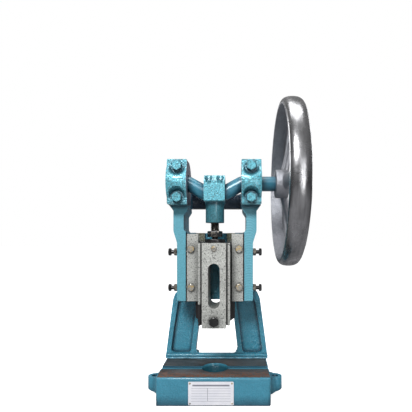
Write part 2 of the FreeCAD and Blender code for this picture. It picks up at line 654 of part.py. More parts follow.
def ram_section(flange_front):
    """Half outline of the ram seen from above, from its face to its back."""
    return [
        (RAM_FACE, RAM_FRONT), (RAM_FACE, RAM_FRONT + RAM_GROOVE_DEPTH),
        (RAM_GROOVE, RAM_FRONT + RAM_GROOVE_DEPTH), (RAM_GROOVE, RAM_FRONT + RAM_STEP_DEPTH),
        (RAM_STEP, RAM_FRONT + RAM_STEP_DEPTH),
        (RAM_STEP, flange_front), (RAM_FLANGE, flange_front), (RAM_FLANGE, RAM_BACK),
    ]


def make_ram():
    """The ram: a flanged bar with a long slot, a ball pocket and a bore for a tool shank."""
    right = ram_section(GIB_THICK + SLIDE_GAP)
    left = [(-x, y) for x, y in reversed(right)]
    body = prism("XY", right + left, RAM_SIDE_BOTTOM, RAM_TOP)
    toe = box(-RAM_FACE, RAM_FACE, RAM_FRONT, RAM_BACK, RAM_BOTTOM, RAM_SIDE_BOTTOM)
    body = fuse([body, toe])
    corner = prism("XZ", [(RAM_STEP - 1, RAM_SIDE_BOTTOM - 1), (RAM_FLANGE + 1, RAM_SIDE_BOTTOM - 1),
                          (RAM_FLANGE + 1, RAM_SIDE_BOTTOM + 7)], GIB_THICK, RAM_BACK + 1)
    travel = 2 * POCKET_RADIUS + THROW
    pocket = stadium("XY", -POCKET_RADIUS, POCKET_RADIUS, -POCKET_RADIUS, travel - POCKET_RADIUS,
                     POCKET_FLOOR, RAM_TOP + 1)
    slot = stadium("XZ", -SLOT_RADIUS, SLOT_RADIUS, SLOT_BOTTOM, SLOT_TOP, RAM_FRONT - 1, RAM_BACK + 1)
    tools = both_sides(corner) + [pocket, slot]
    tools.append(rod("Z", SHANK_RADIUS, (0, 0, RAM_BOTTOM - 1), SHANK_DEPTH + 1))
    tools.append(rod("Y", M10[0] + RUNNING_GAP, (0, RAM_FRONT - 1, CLAMP_Z), -RAM_FRONT - SHANK_RADIUS + 3))
    tools.append(rod("Y", 3.0, (0, RAM_FRONT - 1, LOCK_SCREW_Z), -RAM_FRONT - POCKET_RADIUS + 2))
    tools += [rod("Z", 2.0, (x, y, RAM_TOP - 9), 10.0) for x, y in retainer_screw_places()]
    return cut(body, tools)


def retainer_screw_places():
    """Where the four small screws hold the ball retainer."""
    return [(x, y) for x in (-16.3, 16.3) for y in (-6.0, 24.0)]


def make_ball_retainer():
    """The flanged plate on top of the ram that keeps the ball in."""
    plate = prism("XY", [(-20, -20, 17), (20, -20, 17), (20, 34, 12), (-20, 34, 12)], RAM_TOP, RETAINER_TOP)
    plate = plate.makeFillet(2.0, [e for e in plate.Edges if is_flat_at(e, RETAINER_TOP)])
    slot = stadium("XY", -NECK_RADIUS - 1, NECK_RADIUS + 1, -NECK_RADIUS - 1,
                   NECK_RADIUS + 1 + THROW, RAM_TOP - 1, RETAINER_TOP + 1)
    tools = [slot]
    for x, y in retainer_screw_places():
        tools.append(rod("Z", 2.0, (x, y, RAM_TOP - 1), 12.0))
        tools.append(rod("Z", 3.6, (x, y, RETAINER_TOP - 2.5), 4.0))
    return cut(plate, tools)


def make_retainer_screws():
    """Small cheese-head screws let into the retainer."""
    screws = []
    for x, y in retainer_screw_places():
        head = rod("Z", 3.5, (x, y, RETAINER_TOP - 2.5), 2.4)
        head = head.cut(box(x - 4, x + 4, y - 0.5, y + 0.5, RETAINER_TOP - 1.2, RETAINER_TOP + 1))
        screws.append(head.fuse(rod("Z", 2.0, (x, y, RAM_TOP - 8), 13.5)).removeSplitter())
    return Part.makeCompound(screws)


def make_ball_seat():
    """The hardened pad under the ball."""
    gap = RUNNING_GAP
    travel = POCKET_RADIUS + THROW
    return stadium("XY", -POCKET_RADIUS + gap, POCKET_RADIUS - gap, -POCKET_RADIUS + gap, travel - gap,
                   POCKET_FLOOR, SEAT_TOP)


def make_ball_lock_screw():
    """The slotted screw in the face of the ram, beside the ball."""
    head = rod("Y", 5.2, (0, RAM_FRONT - 2.5, LOCK_SCREW_Z), 2.5)
    head = head.makeFillet(1.0, [e for e in head.Edges if abs(e.BoundBox.YMax - RAM_FRONT + 2.5) < 1e-4])
    head = head.cut(box(-6, 6, RAM_FRONT - 3, RAM_FRONT - 1.4, LOCK_SCREW_Z - 0.6, LOCK_SCREW_Z + 0.6))
    return head.fuse(rod("Y", 3.0, (0, RAM_FRONT, LOCK_SCREW_Z), 20.0)).removeSplitter()


def make_gib():
    """The right gib: a flat guide plate with two bolt holes."""
    body = box(GIB_INNER, GIB_OUTER, 0, GIB_THICK, HEAD_BOTTOM, GIB_TOP)
    body = body.makeChamfer(0.8, [e for e in body.Edges if abs(e.BoundBox.YMax) < 1e-6])
    return cut(body, [rod("Y", M8[0], (GIB_BOLT_X, -1, z), GIB_THICK + 2) for z in GIB_BOLT_Z])


def make_gib_bolts():
    """The four bolts that hold the gibs."""
    bolts = [hex_bolt("Y", M8, (x, 0, z), -1, 32.0) for x in (-GIB_BOLT_X, GIB_BOLT_X) for z in GIB_BOLT_Z]
    return Part.makeCompound(bolts)


def make_gib_screws():
    """The four side screws that push the gibs towards the ram."""
    screws = []
    for z in GIB_SCREW_Z:
        seat = (91.0, GIB_SCREW_Y, z)
        screws += both_sides(hex_bolt("X", M8, seat, 1, seat[0] - GIB_OUTER))
    return Part.makeCompound(screws)


def make_gib_nuts():
    """The lock nuts of the side screws."""
    nuts = []
    for z in GIB_SCREW_Z:
        nuts += both_sides(hex_nut("X", M8, (CHEEK_HALF_WIDTH, GIB_SCREW_Y, z), 6.5))
    return Part.makeCompound(nuts)


def rivet_places():
    """The four corners where the nameplate is riveted."""
    return [(x, z) for x in (PLATE_LEFT + 3.2, PLATE_RIGHT - 3.2) for z in (PLATE_BOTTOM + 3.2, PLATE_TOP - 3.2)]


def make_nameplate():
    """The blank plate on the front of the base."""
    plate = prism("XZ", [(PLATE_LEFT, PLATE_BOTTOM, 1.5), (PLATE_RIGHT, PLATE_BOTTOM, 1.5),
                         (PLATE_RIGHT, PLATE_TOP, 1.5), (PLATE_LEFT, PLATE_TOP, 1.5)],
                  BASE_FRONT - PLATE_THICK, BASE_FRONT)
    return cut(plate, [rod("Y", 1.1, (x, BASE_FRONT - 2, z), 4.0) for x, z in rivet_places()])


def make_rivets():
    """The nameplate's round-headed rivets."""
    rivets = []
    for x, z in rivet_places():
        face = BASE_FRONT - PLATE_THICK
        dome = Part.makeSphere(2.2, Vector(x, face + 1.2, z)).common(box(x - 3, x + 3, face - 3, face, z - 3, z + 3))
        rivets.append(dome.fuse(rod("Y", 1.1, (x, face, z), PLATE_THICK)).removeSplitter())
    return Part.makeCompound(rivets)


def main():
    """Build every piece and write one file for each."""
    right_cap = make_bearing_cap()
    right_gib = make_gib()
    outer = JOURNAL_OUTER
    inner = JOURNAL_INNER + BUSH_RECESS
    rod_end = ROD_HALF_WIDTH - BUSH_RECESS
    nodes = {
        "base": make_base(),
        "upright": make_upright(),
        "base_bolts": make_base_bolts(),
        "left_bearing_cap": mirror_x(right_cap),
        "right_bearing_cap": right_cap,
        "bearing_cap_bolts": make_cap_bolts(),
        "bearing_cap_washers": make_cap_washers(),
        "left_front_bush": half_bush(-outer, -inner, SHAFT_Z, "Y", -1),
        "left_rear_bush": half_bush(-outer, -inner, SHAFT_Z, "Y", 1),
        "right_front_bush": half_bush(inner, outer, SHAFT_Z, "Y", -1),
        "right_rear_bush": half_bush(inner, outer, SHAFT_Z, "Y", 1),
        "left_gib": mirror_x(right_gib),
        "right_gib": right_gib,
        "gib_bolts": make_gib_bolts(),
        "gib_adjusting_screws": make_gib_screws(),
        "gib_lock_nuts": make_gib_nuts(),
        "nameplate": make_nameplate(),
        "nameplate_rivets": make_rivets(),
        "crankshaft": make_crankshaft(),
        "handwheel": make_handwheel(),
        "wheel_key": wheel_key(),
        "wheel_washer": make_wheel_washer(),
        "wheel_nut": make_wheel_nut(),
        "connecting_rod": make_connecting_rod(),
        "rod_cap": make_rod_cap(),
        "rod_cap_bolts": make_rod_cap_bolts(),
        "rod_lower_bush": half_bush(-rod_end, rod_end, PIN_Z, "Z", -1),
        "rod_upper_bush": half_bush(-rod_end, rod_end, PIN_Z, "Z", 1),
        "adjusting_screw": make_adjusting_screw(),
        "ram": make_ram(),
        "ball_seat": make_ball_seat(),
        "ball_retainer": make_ball_retainer(),
        "retainer_screws": make_retainer_screws(),
        "ball_lock_screw": make_ball_lock_screw(),
        "shank_clamp_bolt": hex_bolt("Y", M10, (0, RAM_FRONT, CLAMP_Z), -1, 26.0),
    }
    os.makedirs("parts", exist_ok=True)
    for name, shape in nodes.items():
        if not shape.isValid():
            raise ValueError(name + " isn't a valid shape")
        shape.exportStep("parts/" + name + ".step")


main()
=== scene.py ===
import json
import math

import bmesh
import bpy
from bpy.props import FloatProperty, FloatVectorProperty, IntProperty, PointerProperty
from mathutils import Matrix, Vector


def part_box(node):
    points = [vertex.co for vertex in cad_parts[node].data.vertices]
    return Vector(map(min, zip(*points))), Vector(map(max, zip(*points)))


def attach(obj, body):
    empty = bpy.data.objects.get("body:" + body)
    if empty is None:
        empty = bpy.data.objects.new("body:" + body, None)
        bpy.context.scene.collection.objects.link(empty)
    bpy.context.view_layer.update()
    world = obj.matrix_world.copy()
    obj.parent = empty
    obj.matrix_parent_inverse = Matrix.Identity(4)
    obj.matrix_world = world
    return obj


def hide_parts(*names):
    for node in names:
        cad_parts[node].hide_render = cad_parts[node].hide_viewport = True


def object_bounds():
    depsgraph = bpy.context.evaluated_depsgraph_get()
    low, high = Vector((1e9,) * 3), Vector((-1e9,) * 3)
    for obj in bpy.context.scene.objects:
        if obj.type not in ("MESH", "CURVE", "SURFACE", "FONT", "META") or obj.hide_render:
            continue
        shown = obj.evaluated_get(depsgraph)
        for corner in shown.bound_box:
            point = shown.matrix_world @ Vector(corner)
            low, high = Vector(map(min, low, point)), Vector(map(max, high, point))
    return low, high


bl_info = {
    "name": "Hand-Wheel Crank Press",
    "version": (1, 0, 0),
    "blender": (4, 5, 0),
    "location": "View3D > Sidebar > Press",
    "description": "Finishes a small crank press: enamel, ground slides, polished handwheel and studio",
    "category": "Object",
}

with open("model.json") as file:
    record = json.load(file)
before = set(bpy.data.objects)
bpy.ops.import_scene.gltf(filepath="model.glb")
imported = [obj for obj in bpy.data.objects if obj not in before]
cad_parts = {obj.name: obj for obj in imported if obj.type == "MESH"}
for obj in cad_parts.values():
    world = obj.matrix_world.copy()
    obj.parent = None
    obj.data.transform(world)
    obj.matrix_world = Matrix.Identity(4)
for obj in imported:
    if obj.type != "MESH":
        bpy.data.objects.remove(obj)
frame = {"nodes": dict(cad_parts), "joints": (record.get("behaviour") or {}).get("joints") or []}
CAD_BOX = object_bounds()

MM = 0.001
JOINT_Z = {joint["name"]: joint.get("pos_m", (0, 0, 0))[2] for joint in frame["joints"]}
SHAFT_Z = JOINT_Z["crank_turn"]
PIN_Z = JOINT_Z["rod_swing"]
CREASE = math.radians(32.0)

# Places on the castings and the ram where paint, oil, machining, painted shade or the ram's near-black
# start or end.
CAP_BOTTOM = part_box("left_bearing_cap")[0].z
JOURNAL_INNER = abs(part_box("left_bearing_cap")[1].x)
BASE_HALF = 110.0 * MM
BOLSTER_RADIUS = 27.5 * MM
WAY_HALF = 41.3 * MM
RAM_STEP = 31.6 * MM
RAM_FACE = 24.4 * MM
RIB_SHADE_HEIGHTS = (SHAFT_Z - 62 * MM, SHAFT_Z - 50 * MM)
FOOT_FRONT = 59.0 * MM
BEAD_HALF = 113.0 * MM

# The adjusting screw.
SCREW_RADIUS = 9.0 * MM
SCREW_STEPS = 40
HEX_BOTTOM = SHAFT_Z - 109 * MM
HEX_HEIGHT = 12.0 * MM
HEX_FLATS = 27.0 * MM
NECK_RADIUS = 6.0 * MM
BALL_RADIUS = 11.0 * MM

# The handwheel.
RIM_WIDTH = 38.0 * MM
WEB_THICKNESS = 9.0 * MM
HUB_RADIUS = 29.0 * MM
HUB_BORE = 12.0 * MM
HUB_STEPS = 72
ARMS = 3
FIRST_ARM = math.radians(86.0)

# Colours of bare metal, oil and rust, and of painted shade, glints and reflection; a pair is the dark
# and the light end of a mottle.
OILED_WAY = ((0.07, 0.075, 0.05, 1), (0.14, 0.14, 0.09, 1))
TURNED_IRON = (0.20, 0.21, 0.27, 1)
DEEP_PIT = (0.012, 0.04, 0.055, 1)
RUST = (0.14, 0.055, 0.025, 1)
HOLE_SHADE = (0.006, 0.045, 0.062, 1)
PALE_FLECK_GLINT = (0.46, 0.78, 0.82, 1)
BEAD_GLINT = (0.5, 0.62, 0.68, 1)
DARK_GRAIN = (0.05, 0.05, 0.052, 1)
PALE_GRAIN = (0.80, 0.80, 0.78, 1)
RAM_NEAR_BLACK = (0.016, 0.013, 0.014, 1)
SLIDE_CORNER_SHADE = (0.012, 0.013, 0.014, 1)
OXIDE = ((0.0035, 0.0035, 0.004, 1), (0.012, 0.012, 0.013, 1))
WORN_OXIDE = (0.30, 0.27, 0.22, 1)
ZINC = ((0.32, 0.31, 0.28, 1), (0.55, 0.54, 0.50, 1))
YELLOWED_ZINC = (0.42, 0.29, 0.10, 1)
ZINC_SPECK = (0.18, 0.16, 0.12, 1)
ZINC_CORNER_SHADE = (0.02, 0.018, 0.015, 1)
BRONZE = ((0.45, 0.26, 0.09, 1), (0.62, 0.40, 0.17, 1))
HARD_STEEL = ((0.48, 0.49, 0.50, 1), (0.64, 0.64, 0.65, 1))
CAST_IRON = ((0.19, 0.195, 0.215, 1), (0.34, 0.345, 0.375, 1))
CAST_GRAIN = (0.55, 0.56, 0.60, 1)
CAST_PEAK = (0.50, 0.52, 0.56, 1)
CAST_CORNER_SHADE = (0.03, 0.031, 0.036, 1)
POLISHED_IRON = ((0.27, 0.27, 0.275, 1), (0.42, 0.42, 0.435, 1))
RIM_DARK_REFLECTION = (0.05, 0.052, 0.055, 1)
RIM_STREAK = (0.13, 0.13, 0.135, 1)
ALUMINIUM = ((0.70, 0.71, 0.77, 1), (0.80, 0.80, 0.84, 1))
PRINT_INK = (0.10, 0.10, 0.14, 1)

# The studio: a lamp is its name, its place, its size and its power in watts.
LAMPS = (("key", (-0.30, -1.25, 1.30), (0.50, 0.40), 29.0),
         ("fill", (0.55, -1.6, 0.45), (0.25, 0.9), 5.0),
         ("crown", (0.05, 0.05, 1.7), (0.9, 0.6), 9.0),
         ("back_left", (-1.1, 1.1, 0.9), (0.7, 1.0), 10.0),
         ("back_right", (1.3, 0.9, 1.0), (0.7, 1.0), 8.0))
CAMERA_PLACE = (43.3 * MM, -737.5 * MM, 310.5 * MM)
CAMERA_SHIFT = (-0.0728, 0.0898)
STUDIO_SKY = ((0.22, 0.23, 0.25, 1), (1, 1, 1, 1))
PALE_FLOOR = ((0.86, 0.86, 0.87, 1), (0.90, 0.90, 0.90, 1))
DIM_FLOOR = (0.30, 0.30, 0.31, 1)
FLOOR_GLOW = (0.86, 0.86, 0.86, 1)
NO_GLOW = (0, 0, 0, 1)

# The CAD nodes that share a finish.
HAMMERED = ("left_bearing_cap", "right_bearing_cap", "connecting_rod", "rod_cap")
BOLTS = ("bearing_cap_bolts", "bearing_cap_washers", "rod_cap_bolts")
BUSHES = ("left_front_bush", "left_rear_bush", "right_front_bush", "right_rear_bush",
          "rod_lower_bush", "rod_upper_bush")
BLACKENED = ("gib_adjusting_screws", "ball_retainer", "retainer_screws",
             "shank_clamp_bolt", "base_bolts")
PLATED = ("gib_bolts", "wheel_washer", "wheel_nut", "nameplate_rivets", "ball_lock_screw")


# ---------------------------------------------------------------- settings

class PressColours(bpy.types.PropertyGroup):
    """Colours of the press's finishes."""

    enamel: FloatVectorProperty(
        name="Enamel", description="Colour of the paint on the castings",
        default=(0.033, 0.190, 0.272), subtype="COLOR", min=0.0, max=1.0)
    cheek: FloatVectorProperty(
        name="Cheek", description="Colour of the paint on the milled front faces",
        default=(0.086, 0.295, 0.372), subtype="COLOR", min=0.0, max=1.0)
    hammered: FloatVectorProperty(
        name="Hammered enamel", description="Colour of the hammered paint on caps and rod",
        default=(0.058, 0.275, 0.345), subtype="COLOR", min=0.0, max=1.0)
    bed: FloatVectorProperty(
        name="Bed", description="Colour of the bare machined bed",
        default=(0.085, 0.083, 0.083), subtype="COLOR", min=0.0, max=1.0)
    # Painted shade: this colour is laid into corners, recesses and over the cross rib, where shadow
    # falls.
    shade: FloatVectorProperty(
        name="Shade", description="Colour of the enamel deep in corners, where it lies thick",
        default=(0.001, 0.010, 0.030), subtype="COLOR", min=0.0, max=1.0)
    slide: FloatVectorProperty(
        name="Slide", description="Colour of the ground iron of the ram and the gibs",
        default=(0.40, 0.41, 0.385), subtype="COLOR", min=0.0, max=1.0)


class PressSizes(bpy.types.PropertyGroup):
    """Sizes of the details that finish the press."""

    edge: FloatProperty(
        name="Edge rounding", description="Width of the rounding along the edges of castings",
        default=1.0 * MM, unit="LENGTH", min=0.0)
    bead: FloatProperty(
        name="Paint bead", description="Radius of the bead of paint along the foot of the upright",
        default=1.6 * MM, unit="LENGTH", min=0.0)
    pitch: FloatProperty(
        name="Screw pitch", description="Pitch of the adjusting screw's thread",
        default=2.5 * MM, unit="LENGTH", min=0.0005)
    lens: FloatProperty(
        name="Lens", description="Focal length of the studio camera in millimetres",
        default=31.28, min=10.0)
    wheel_steps: IntProperty(
        name="Wheel steps", description="Number of steps round the handwheel's rim",
        default=192, min=48)


# ---------------------------------------------------------------- node tools

def add(tree, kind, inputs=None, **settings):
    """A shader node with its settings; an input is a value or the socket that feeds it."""
    made = tree.nodes.new(kind)
    for name, value in settings.items():
        setattr(made, name, value)
    for key, value in (inputs or {}).items():
        if isinstance(value, bpy.types.NodeSocket):
            tree.links.new(value, made.inputs[key])
        else:
            made.inputs[key].default_value = value
    return made


def math_node(tree, operation, first, second=0.0, third=0.0):
    """The result of one calculation on values or sockets."""
    made = add(tree, "ShaderNodeMath", {0: first, 1: second, 2: third}, operation=operation)
    return made.outputs[0]


def times(tree, first, second):
    """The product of two values."""
    return math_node(tree, "MULTIPLY", first, second)


def times_plus(tree, first, second, third):
    """The product of two values, with a third added."""
    return math_node(tree, "MULTIPLY_ADD", first, second, third)


def stretch(tree, vector, scales):
    """Coordinates stretched by their own factor along each axis."""
    made = add(tree, "ShaderNodeVectorMath", {0: vector, 1: scales}, operation="MULTIPLY")
    return made.outputs[0]


def ramp(tree, value, low, high):
    """A value stretched so that low becomes 0 and high becomes 1."""
    made = add(tree, "ShaderNodeMapRange", {"Value": value, "From Min": low, "From Max": high})
    return made.outputs["Result"]


def between(tree, value, low, high, soft):
    """1 where a value lies between two limits, with a soft step at each."""
    rise = ramp(tree, value, low - soft, low + soft)
    fall = ramp(tree, value, high + soft, high - soft)
    return times(tree, rise, fall)


def noise(tree, vector, scale, detail=2.0, roughness=0.5, distortion=0.0):
    """The value of a noise texture."""
    made = add(tree, "ShaderNodeTexNoise", {
        "Vector": vector, "Scale": scale, "Detail": detail,
        "Roughness": roughness, "Distortion": distortion})
    return made.outputs["Fac"]


def mix_colour(tree, share, first, second):
    """A blend of two colours."""
    made = add(tree, "ShaderNodeMix", {0: share, 6: first, 7: second}, data_type="RGBA")
    return made.outputs[2]


def tint(tree, base, colour, mask, share=1.0):
    """A colour laid over a base where the mask shows, no thicker than the share."""
    if share < 1.0:
        mask = times(tree, mask, share)
    return mix_colour(tree, mask, base, colour)


def rgba(colour, gain=1.0):
    """A colour as four numbers, made darker or lighter by the gain."""
    return (*[min(1.0, channel * gain) for channel in colour], 1.0)


def two_tone(tree, mask, colour, dark, light):
    """A colour that goes from its dark shade to its light one as the mask rises."""
    return mix_colour(tree, mask, rgba(colour, dark), rgba(colour, light))


def axes_of(tree, vector):
    """The three coordinates of a vector as values."""
    split = add(tree, "ShaderNodeSeparateXYZ", {0: vector})
    return split.outputs["X"], split.outputs["Y"], split.outputs["Z"]


def corners(tree, reach, power):
    """How deep in a corner a point lies, for painting shade there: 0 in the open, 1 where little sky is
    seen.
    """
    open_sky = add(tree, "ShaderNodeAmbientOcclusion", {"Distance": reach}, samples=12)
    lit = math_node(tree, "POWER", open_sky.outputs["AO"], power)
    return math_node(tree, "SUBTRACT", 1.0, lit)


# ---------------------------------------------------------------- shared effects

def new_group(name, inputs, outputs):
    """A shader node group with named inputs, each with a default, and named outputs."""
    tree = bpy.data.node_groups.new(name, "ShaderNodeTree")
    tree.interface.new_socket("Vector", in_out="INPUT", socket_type="NodeSocketVector")
    for label, value in inputs.items():
        made = tree.interface.new_socket(label, in_out="INPUT", socket_type="NodeSocketFloat")
        made.default_value = value
    for label in outputs:
        tree.interface.new_socket(label, in_out="OUTPUT", socket_type="NodeSocketFloat")
    start = tree.nodes.new("NodeGroupInput")
    end = tree.nodes.new("NodeGroupOutput")
    return tree, start, end


def cast_skin_group():
    """The skin of painted cast iron: fine orange peel, soft dents and patches of tone."""
    tree, start, end = new_group("Cast Skin", {"Grain": 900.0}, ("Height", "Patch"))
    vector = start.outputs["Vector"]
    grain = start.outputs["Grain"]
    fine = noise(tree, vector, grain, 2.0, 0.55)
    soft = noise(tree, vector, times(tree, grain, 0.16), 3.0, 0.5)
    wide = noise(tree, vector, times(tree, grain, 0.03), 4.0, 0.6, 0.6)
    tree.links.new(times_plus(tree, soft, 1.8, fine), end.inputs["Height"])
    tree.links.new(ramp(tree, wide, 0.3, 0.7), end.inputs["Patch"])


def hammer_skin_group():
    """Hammered enamel: a net of small dimples, with bright flecks and mottled tone."""
    tree, start, end = new_group("Hammer Skin", {"Cells": 420.0}, ("Height", "Fleck", "Mottle"))
    vector = start.outputs["Vector"]
    cells = start.outputs["Cells"]
    shift = add(tree, "ShaderNodeTexNoise", {"Vector": vector, "Scale": cells, "Detail": 1.0})
    swirl = add(tree, "ShaderNodeVectorMath", {0: shift.outputs["Color"], 1: (0.5, 0.5, 0.5)},
                operation="SUBTRACT")
    small = add(tree, "ShaderNodeVectorMath", {0: swirl.outputs[0], "Scale": 0.0032},
                operation="SCALE")
    bent = add(tree, "ShaderNodeVectorMath", {0: vector, 1: small.outputs[0]},
               operation="ADD").outputs[0]
    net = add(tree, "ShaderNodeTexVoronoi", {"Vector": bent, "Scale": cells, "Smoothness": 0.6},
              feature="SMOOTH_F1")
    fine = noise(tree, vector, times(tree, cells, 2.2), 2.0, 0.6)
    mottle = noise(tree, bent, times(tree, cells, 0.95), 2.0, 0.75)
    tree.links.new(times_plus(tree, fine, 0.5, net.outputs["Distance"]), end.inputs["Height"])
    tree.links.new(ramp(tree, fine, 0.50, 0.72), end.inputs["Fleck"])
    tree.links.new(ramp(tree, mottle, 0.39, 0.61), end.inputs["Mottle"])


def speckle_group():
    """Ground iron: fine grains lighter and darker than the metal round them."""
    tree, start, end = new_group("Speckle", {"Grain": 650.0}, ("Dark", "Light", "Cloud"))
    vector = start.outputs["Vector"]
    grain = start.outputs["Grain"]
    first = noise(tree, vector, grain, 2.0, 0.65)
    second = noise(tree, vector, times(tree, grain, 1.37), 1.0, 0.5)
    cloud = noise(tree, vector, times(tree, grain, 0.05), 3.0, 0.6)
    tree.links.new(ramp(tree, first, 0.53, 0.66), end.inputs["Dark"])
    tree.links.new(ramp(tree, second, 0.55, 0.75), end.inputs["Light"])
    tree.links.new(ramp(tree, cloud, 0.3, 0.7), end.inputs["Cloud"])


def stain_group():
    """Stains: ragged patches that leave most of the surface clean."""
    tree, start, end = new_group("Stain", {"Size": 40.0, "Amount": 0.5}, ("Mask",))
    vector = start.outputs["Vector"]
    size = start.outputs["Size"]
    broad = noise(tree, vector, size, 5.0, 0.65, 0.4)
    ragged = noise(tree, vector, times(tree, size, 6.0), 3.0, 0.7)
    both = times_plus(tree, ragged, 0.35, broad)
    level = math_node(tree, "SUBTRACT", 1.02, times(tree, start.outputs["Amount"], 0.5))
    over = math_node(tree, "SUBTRACT", both, level)
    tree.links.new(ramp(tree, over, 0.0, 0.08), end.inputs["Mask"])


def place_group(tree, name, vector, **values):
    """A shared effect placed in a material with its own values; its outputs by name."""
    made = tree.nodes.new("ShaderNodeGroup")
    made.node_tree = bpy.data.node_groups[name]
    tree.links.new(vector, made.inputs["Vector"])
    for key, value in values.items():
        made.inputs[key.capitalize()].default_value = value
    return made.outputs


def start_material(name, metallic, roughness, coat=0.0, coat_roughness=0.1):
    """A new material: its tree, its shader and the coordinates that its patterns read."""
    material = bpy.data.materials.new(name)
    material.use_nodes = True
    tree = material.node_tree
    shader = tree.nodes["Principled BSDF"]
    shader.inputs["Metallic"].default_value = metallic
    shader.inputs["Roughness"].default_value = roughness
    shader.inputs["Coat Weight"].default_value = coat
    shader.inputs["Coat Roughness"].default_value = coat_roughness
    where = tree.nodes.new("ShaderNodeTexCoord").outputs["Object"]
    return material, tree, shader, where


def bump(tree, shader, height, strength, distance):
    """Feed a height to the shader's normal; a bump that is already there stays below it."""
    made = add(tree, "ShaderNodeBump", {"Height": height, "Strength": strength,
                                        "Distance": distance})
    if shader.inputs["Normal"].is_linked:
        tree.links.new(shader.inputs["Normal"].links[0].from_socket, made.inputs["Normal"])
    tree.links.new(made.outputs["Normal"], shader.inputs["Normal"])


# ---------------------------------------------------------------- materials

def journal_end(tree, x):
    """1 on the faces where the journals end, which are bare of paint."""
    across = math_node(tree, "ABSOLUTE", x)
    return between(tree, across, JOURNAL_INNER - 0.3 * MM, JOURNAL_INNER + 0.3 * MM, 0.1 * MM)


def right_cheek(tree, x):
    """1 on the right cheek, where the mill's marks still show through the paint."""
    start = 40.0 * MM
    return ramp(tree, x, start, start + 5.0 * MM)


def milling_marks(tree, x, z, mask):
    """Arcs that a face mill left one above the other down the right cheek."""
    cutter = 15.0 * MM
    centre = 70.0 * MM
    pitch = 5.2 * MM
    across = math_node(tree, "SUBTRACT", x, centre)
    left = math_node(tree, "SUBTRACT", cutter * cutter, times(tree, across, across))
    rise = math_node(tree, "SQRT", math_node(tree, "MAXIMUM", left, 0.0))
    arc = math_node(tree, "SUBTRACT", z, rise)
    wave = math_node(tree, "SINE", times(tree, arc, math.tau / pitch))
    return times(tree, times(tree, wave, mask), right_cheek(tree, x))


def enamel_material(colours):
    """Gloss enamel on cast iron, for the upright; its milled cheeks and ways differ."""
    material, tree, shader, where = start_material("upright_enamel", 0.0, 0.32, 0.35, 0.12)
    x, y, z = axes_of(tree, where)
    skin = place_group(tree, "Cast Skin", where, grain=520.0)
    hammer = place_group(tree, "Hammer Skin", where, cells=380.0)
    front_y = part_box("upright")[0].y
    front = between(tree, y, front_y - 1.0 * MM, front_y + 0.6 * MM, 0.15 * MM)
    milled = times(tree, front, ramp(tree, z, CAP_BOTTOM + 2 * MM, CAP_BOTTOM))
    marks = milling_marks(tree, x, z, milled)

    base = two_tone(tree, skin["Patch"], colours.enamel, 0.82, 1.2)
    base = tint(tree, base, rgba(colours.enamel, 1.7), hammer["Mottle"], 0.6)
    base = tint(tree, base, rgba(colours.hammered, 1.8), hammer["Fleck"], 0.3)
    cheek = two_tone(tree, hammer["Mottle"], colours.cheek, 0.88, 1.14)
    arcs = times(tree, times_plus(tree, marks, 0.14, 0.14), right_cheek(tree, x))
    cheek = tint(tree, cheek, rgba(colours.cheek, 1.6), arcs)
    base = tint(tree, base, cheek, milled)

    way_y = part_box("ram")[1].y
    way = between(tree, y, way_y - 0.4 * MM, way_y + 0.8 * MM, 0.1 * MM)
    way = times(tree, way, between(tree, x, -WAY_HALF, WAY_HALF, 0.1 * MM))
    base = tint(tree, base, mix_colour(tree, skin["Patch"], *OILED_WAY), way)
    turned = times(tree, ramp(tree, z, CAP_BOTTOM, CAP_BOTTOM + 2 * MM), journal_end(tree, x))
    base = tint(tree, base, TURNED_IRON, turned)
    # Painted shade: the enamel is darkened toward the shade colour deep in corners.
    base = tint(tree, base, rgba(colours.shade), corners(tree, 9 * MM, 2.2))
    # Painted shadow: the cross rib behind the crank, which lies in shade, is darkened almost to the
    # shade colour.
    across = math_node(tree, "ABSOLUTE", x)
    rib_shade = times(tree, ramp(tree, across, JOURNAL_INNER, JOURNAL_INNER - 2 * MM),
                ramp(tree, z, *RIB_SHADE_HEIGHTS))
    base = tint(tree, base, rgba(colours.shade), rib_shade, 0.97)
    tree.links.new(base, shader.inputs["Base Color"])

    rough = times_plus(tree, milled, 0.12, times_plus(tree, skin["Patch"], 0.10, 0.26))
    tree.links.new(rough, shader.inputs["Roughness"])
    as_cast = math_node(tree, "SUBTRACT", 1.0, milled)
    bump(tree, shader, times(tree, skin["Height"], as_cast), 0.9, 1.7 * MM)
    bump(tree, shader, times(tree, hammer["Height"], as_cast), 0.7, 1.2 * MM)
    bump(tree, shader, times(tree, hammer["Height"], milled), 0.3, 0.35 * MM)
    bump(tree, shader, marks, 0.6, 0.22 * MM)
    return material


def bare_bed(tree, x, y, z, wander):
    """1 on the machined bed, up to an edge of paint that wanders a little."""
    low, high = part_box("base")
    normal = add(tree, "ShaderNodeNewGeometry").outputs["Normal"]
    level = ramp(tree, axes_of(tree, normal)[2], 0.85, 0.95)
    top = ramp(tree, z, high.z - 0.5 * MM, high.z - 0.3 * MM)
    reach = math_node(tree, "ADD", math_node(tree, "ABSOLUTE", x), wander)
    sides = ramp(tree, reach, BASE_HALF - 1.0 * MM, BASE_HALF - 1.8 * MM)
    front = ramp(tree, math_node(tree, "ADD", y, wander), low.y + 3.2 * MM, low.y + 4.0 * MM)
    return times(tree, times(tree, top, level), times(tree, sides, front))


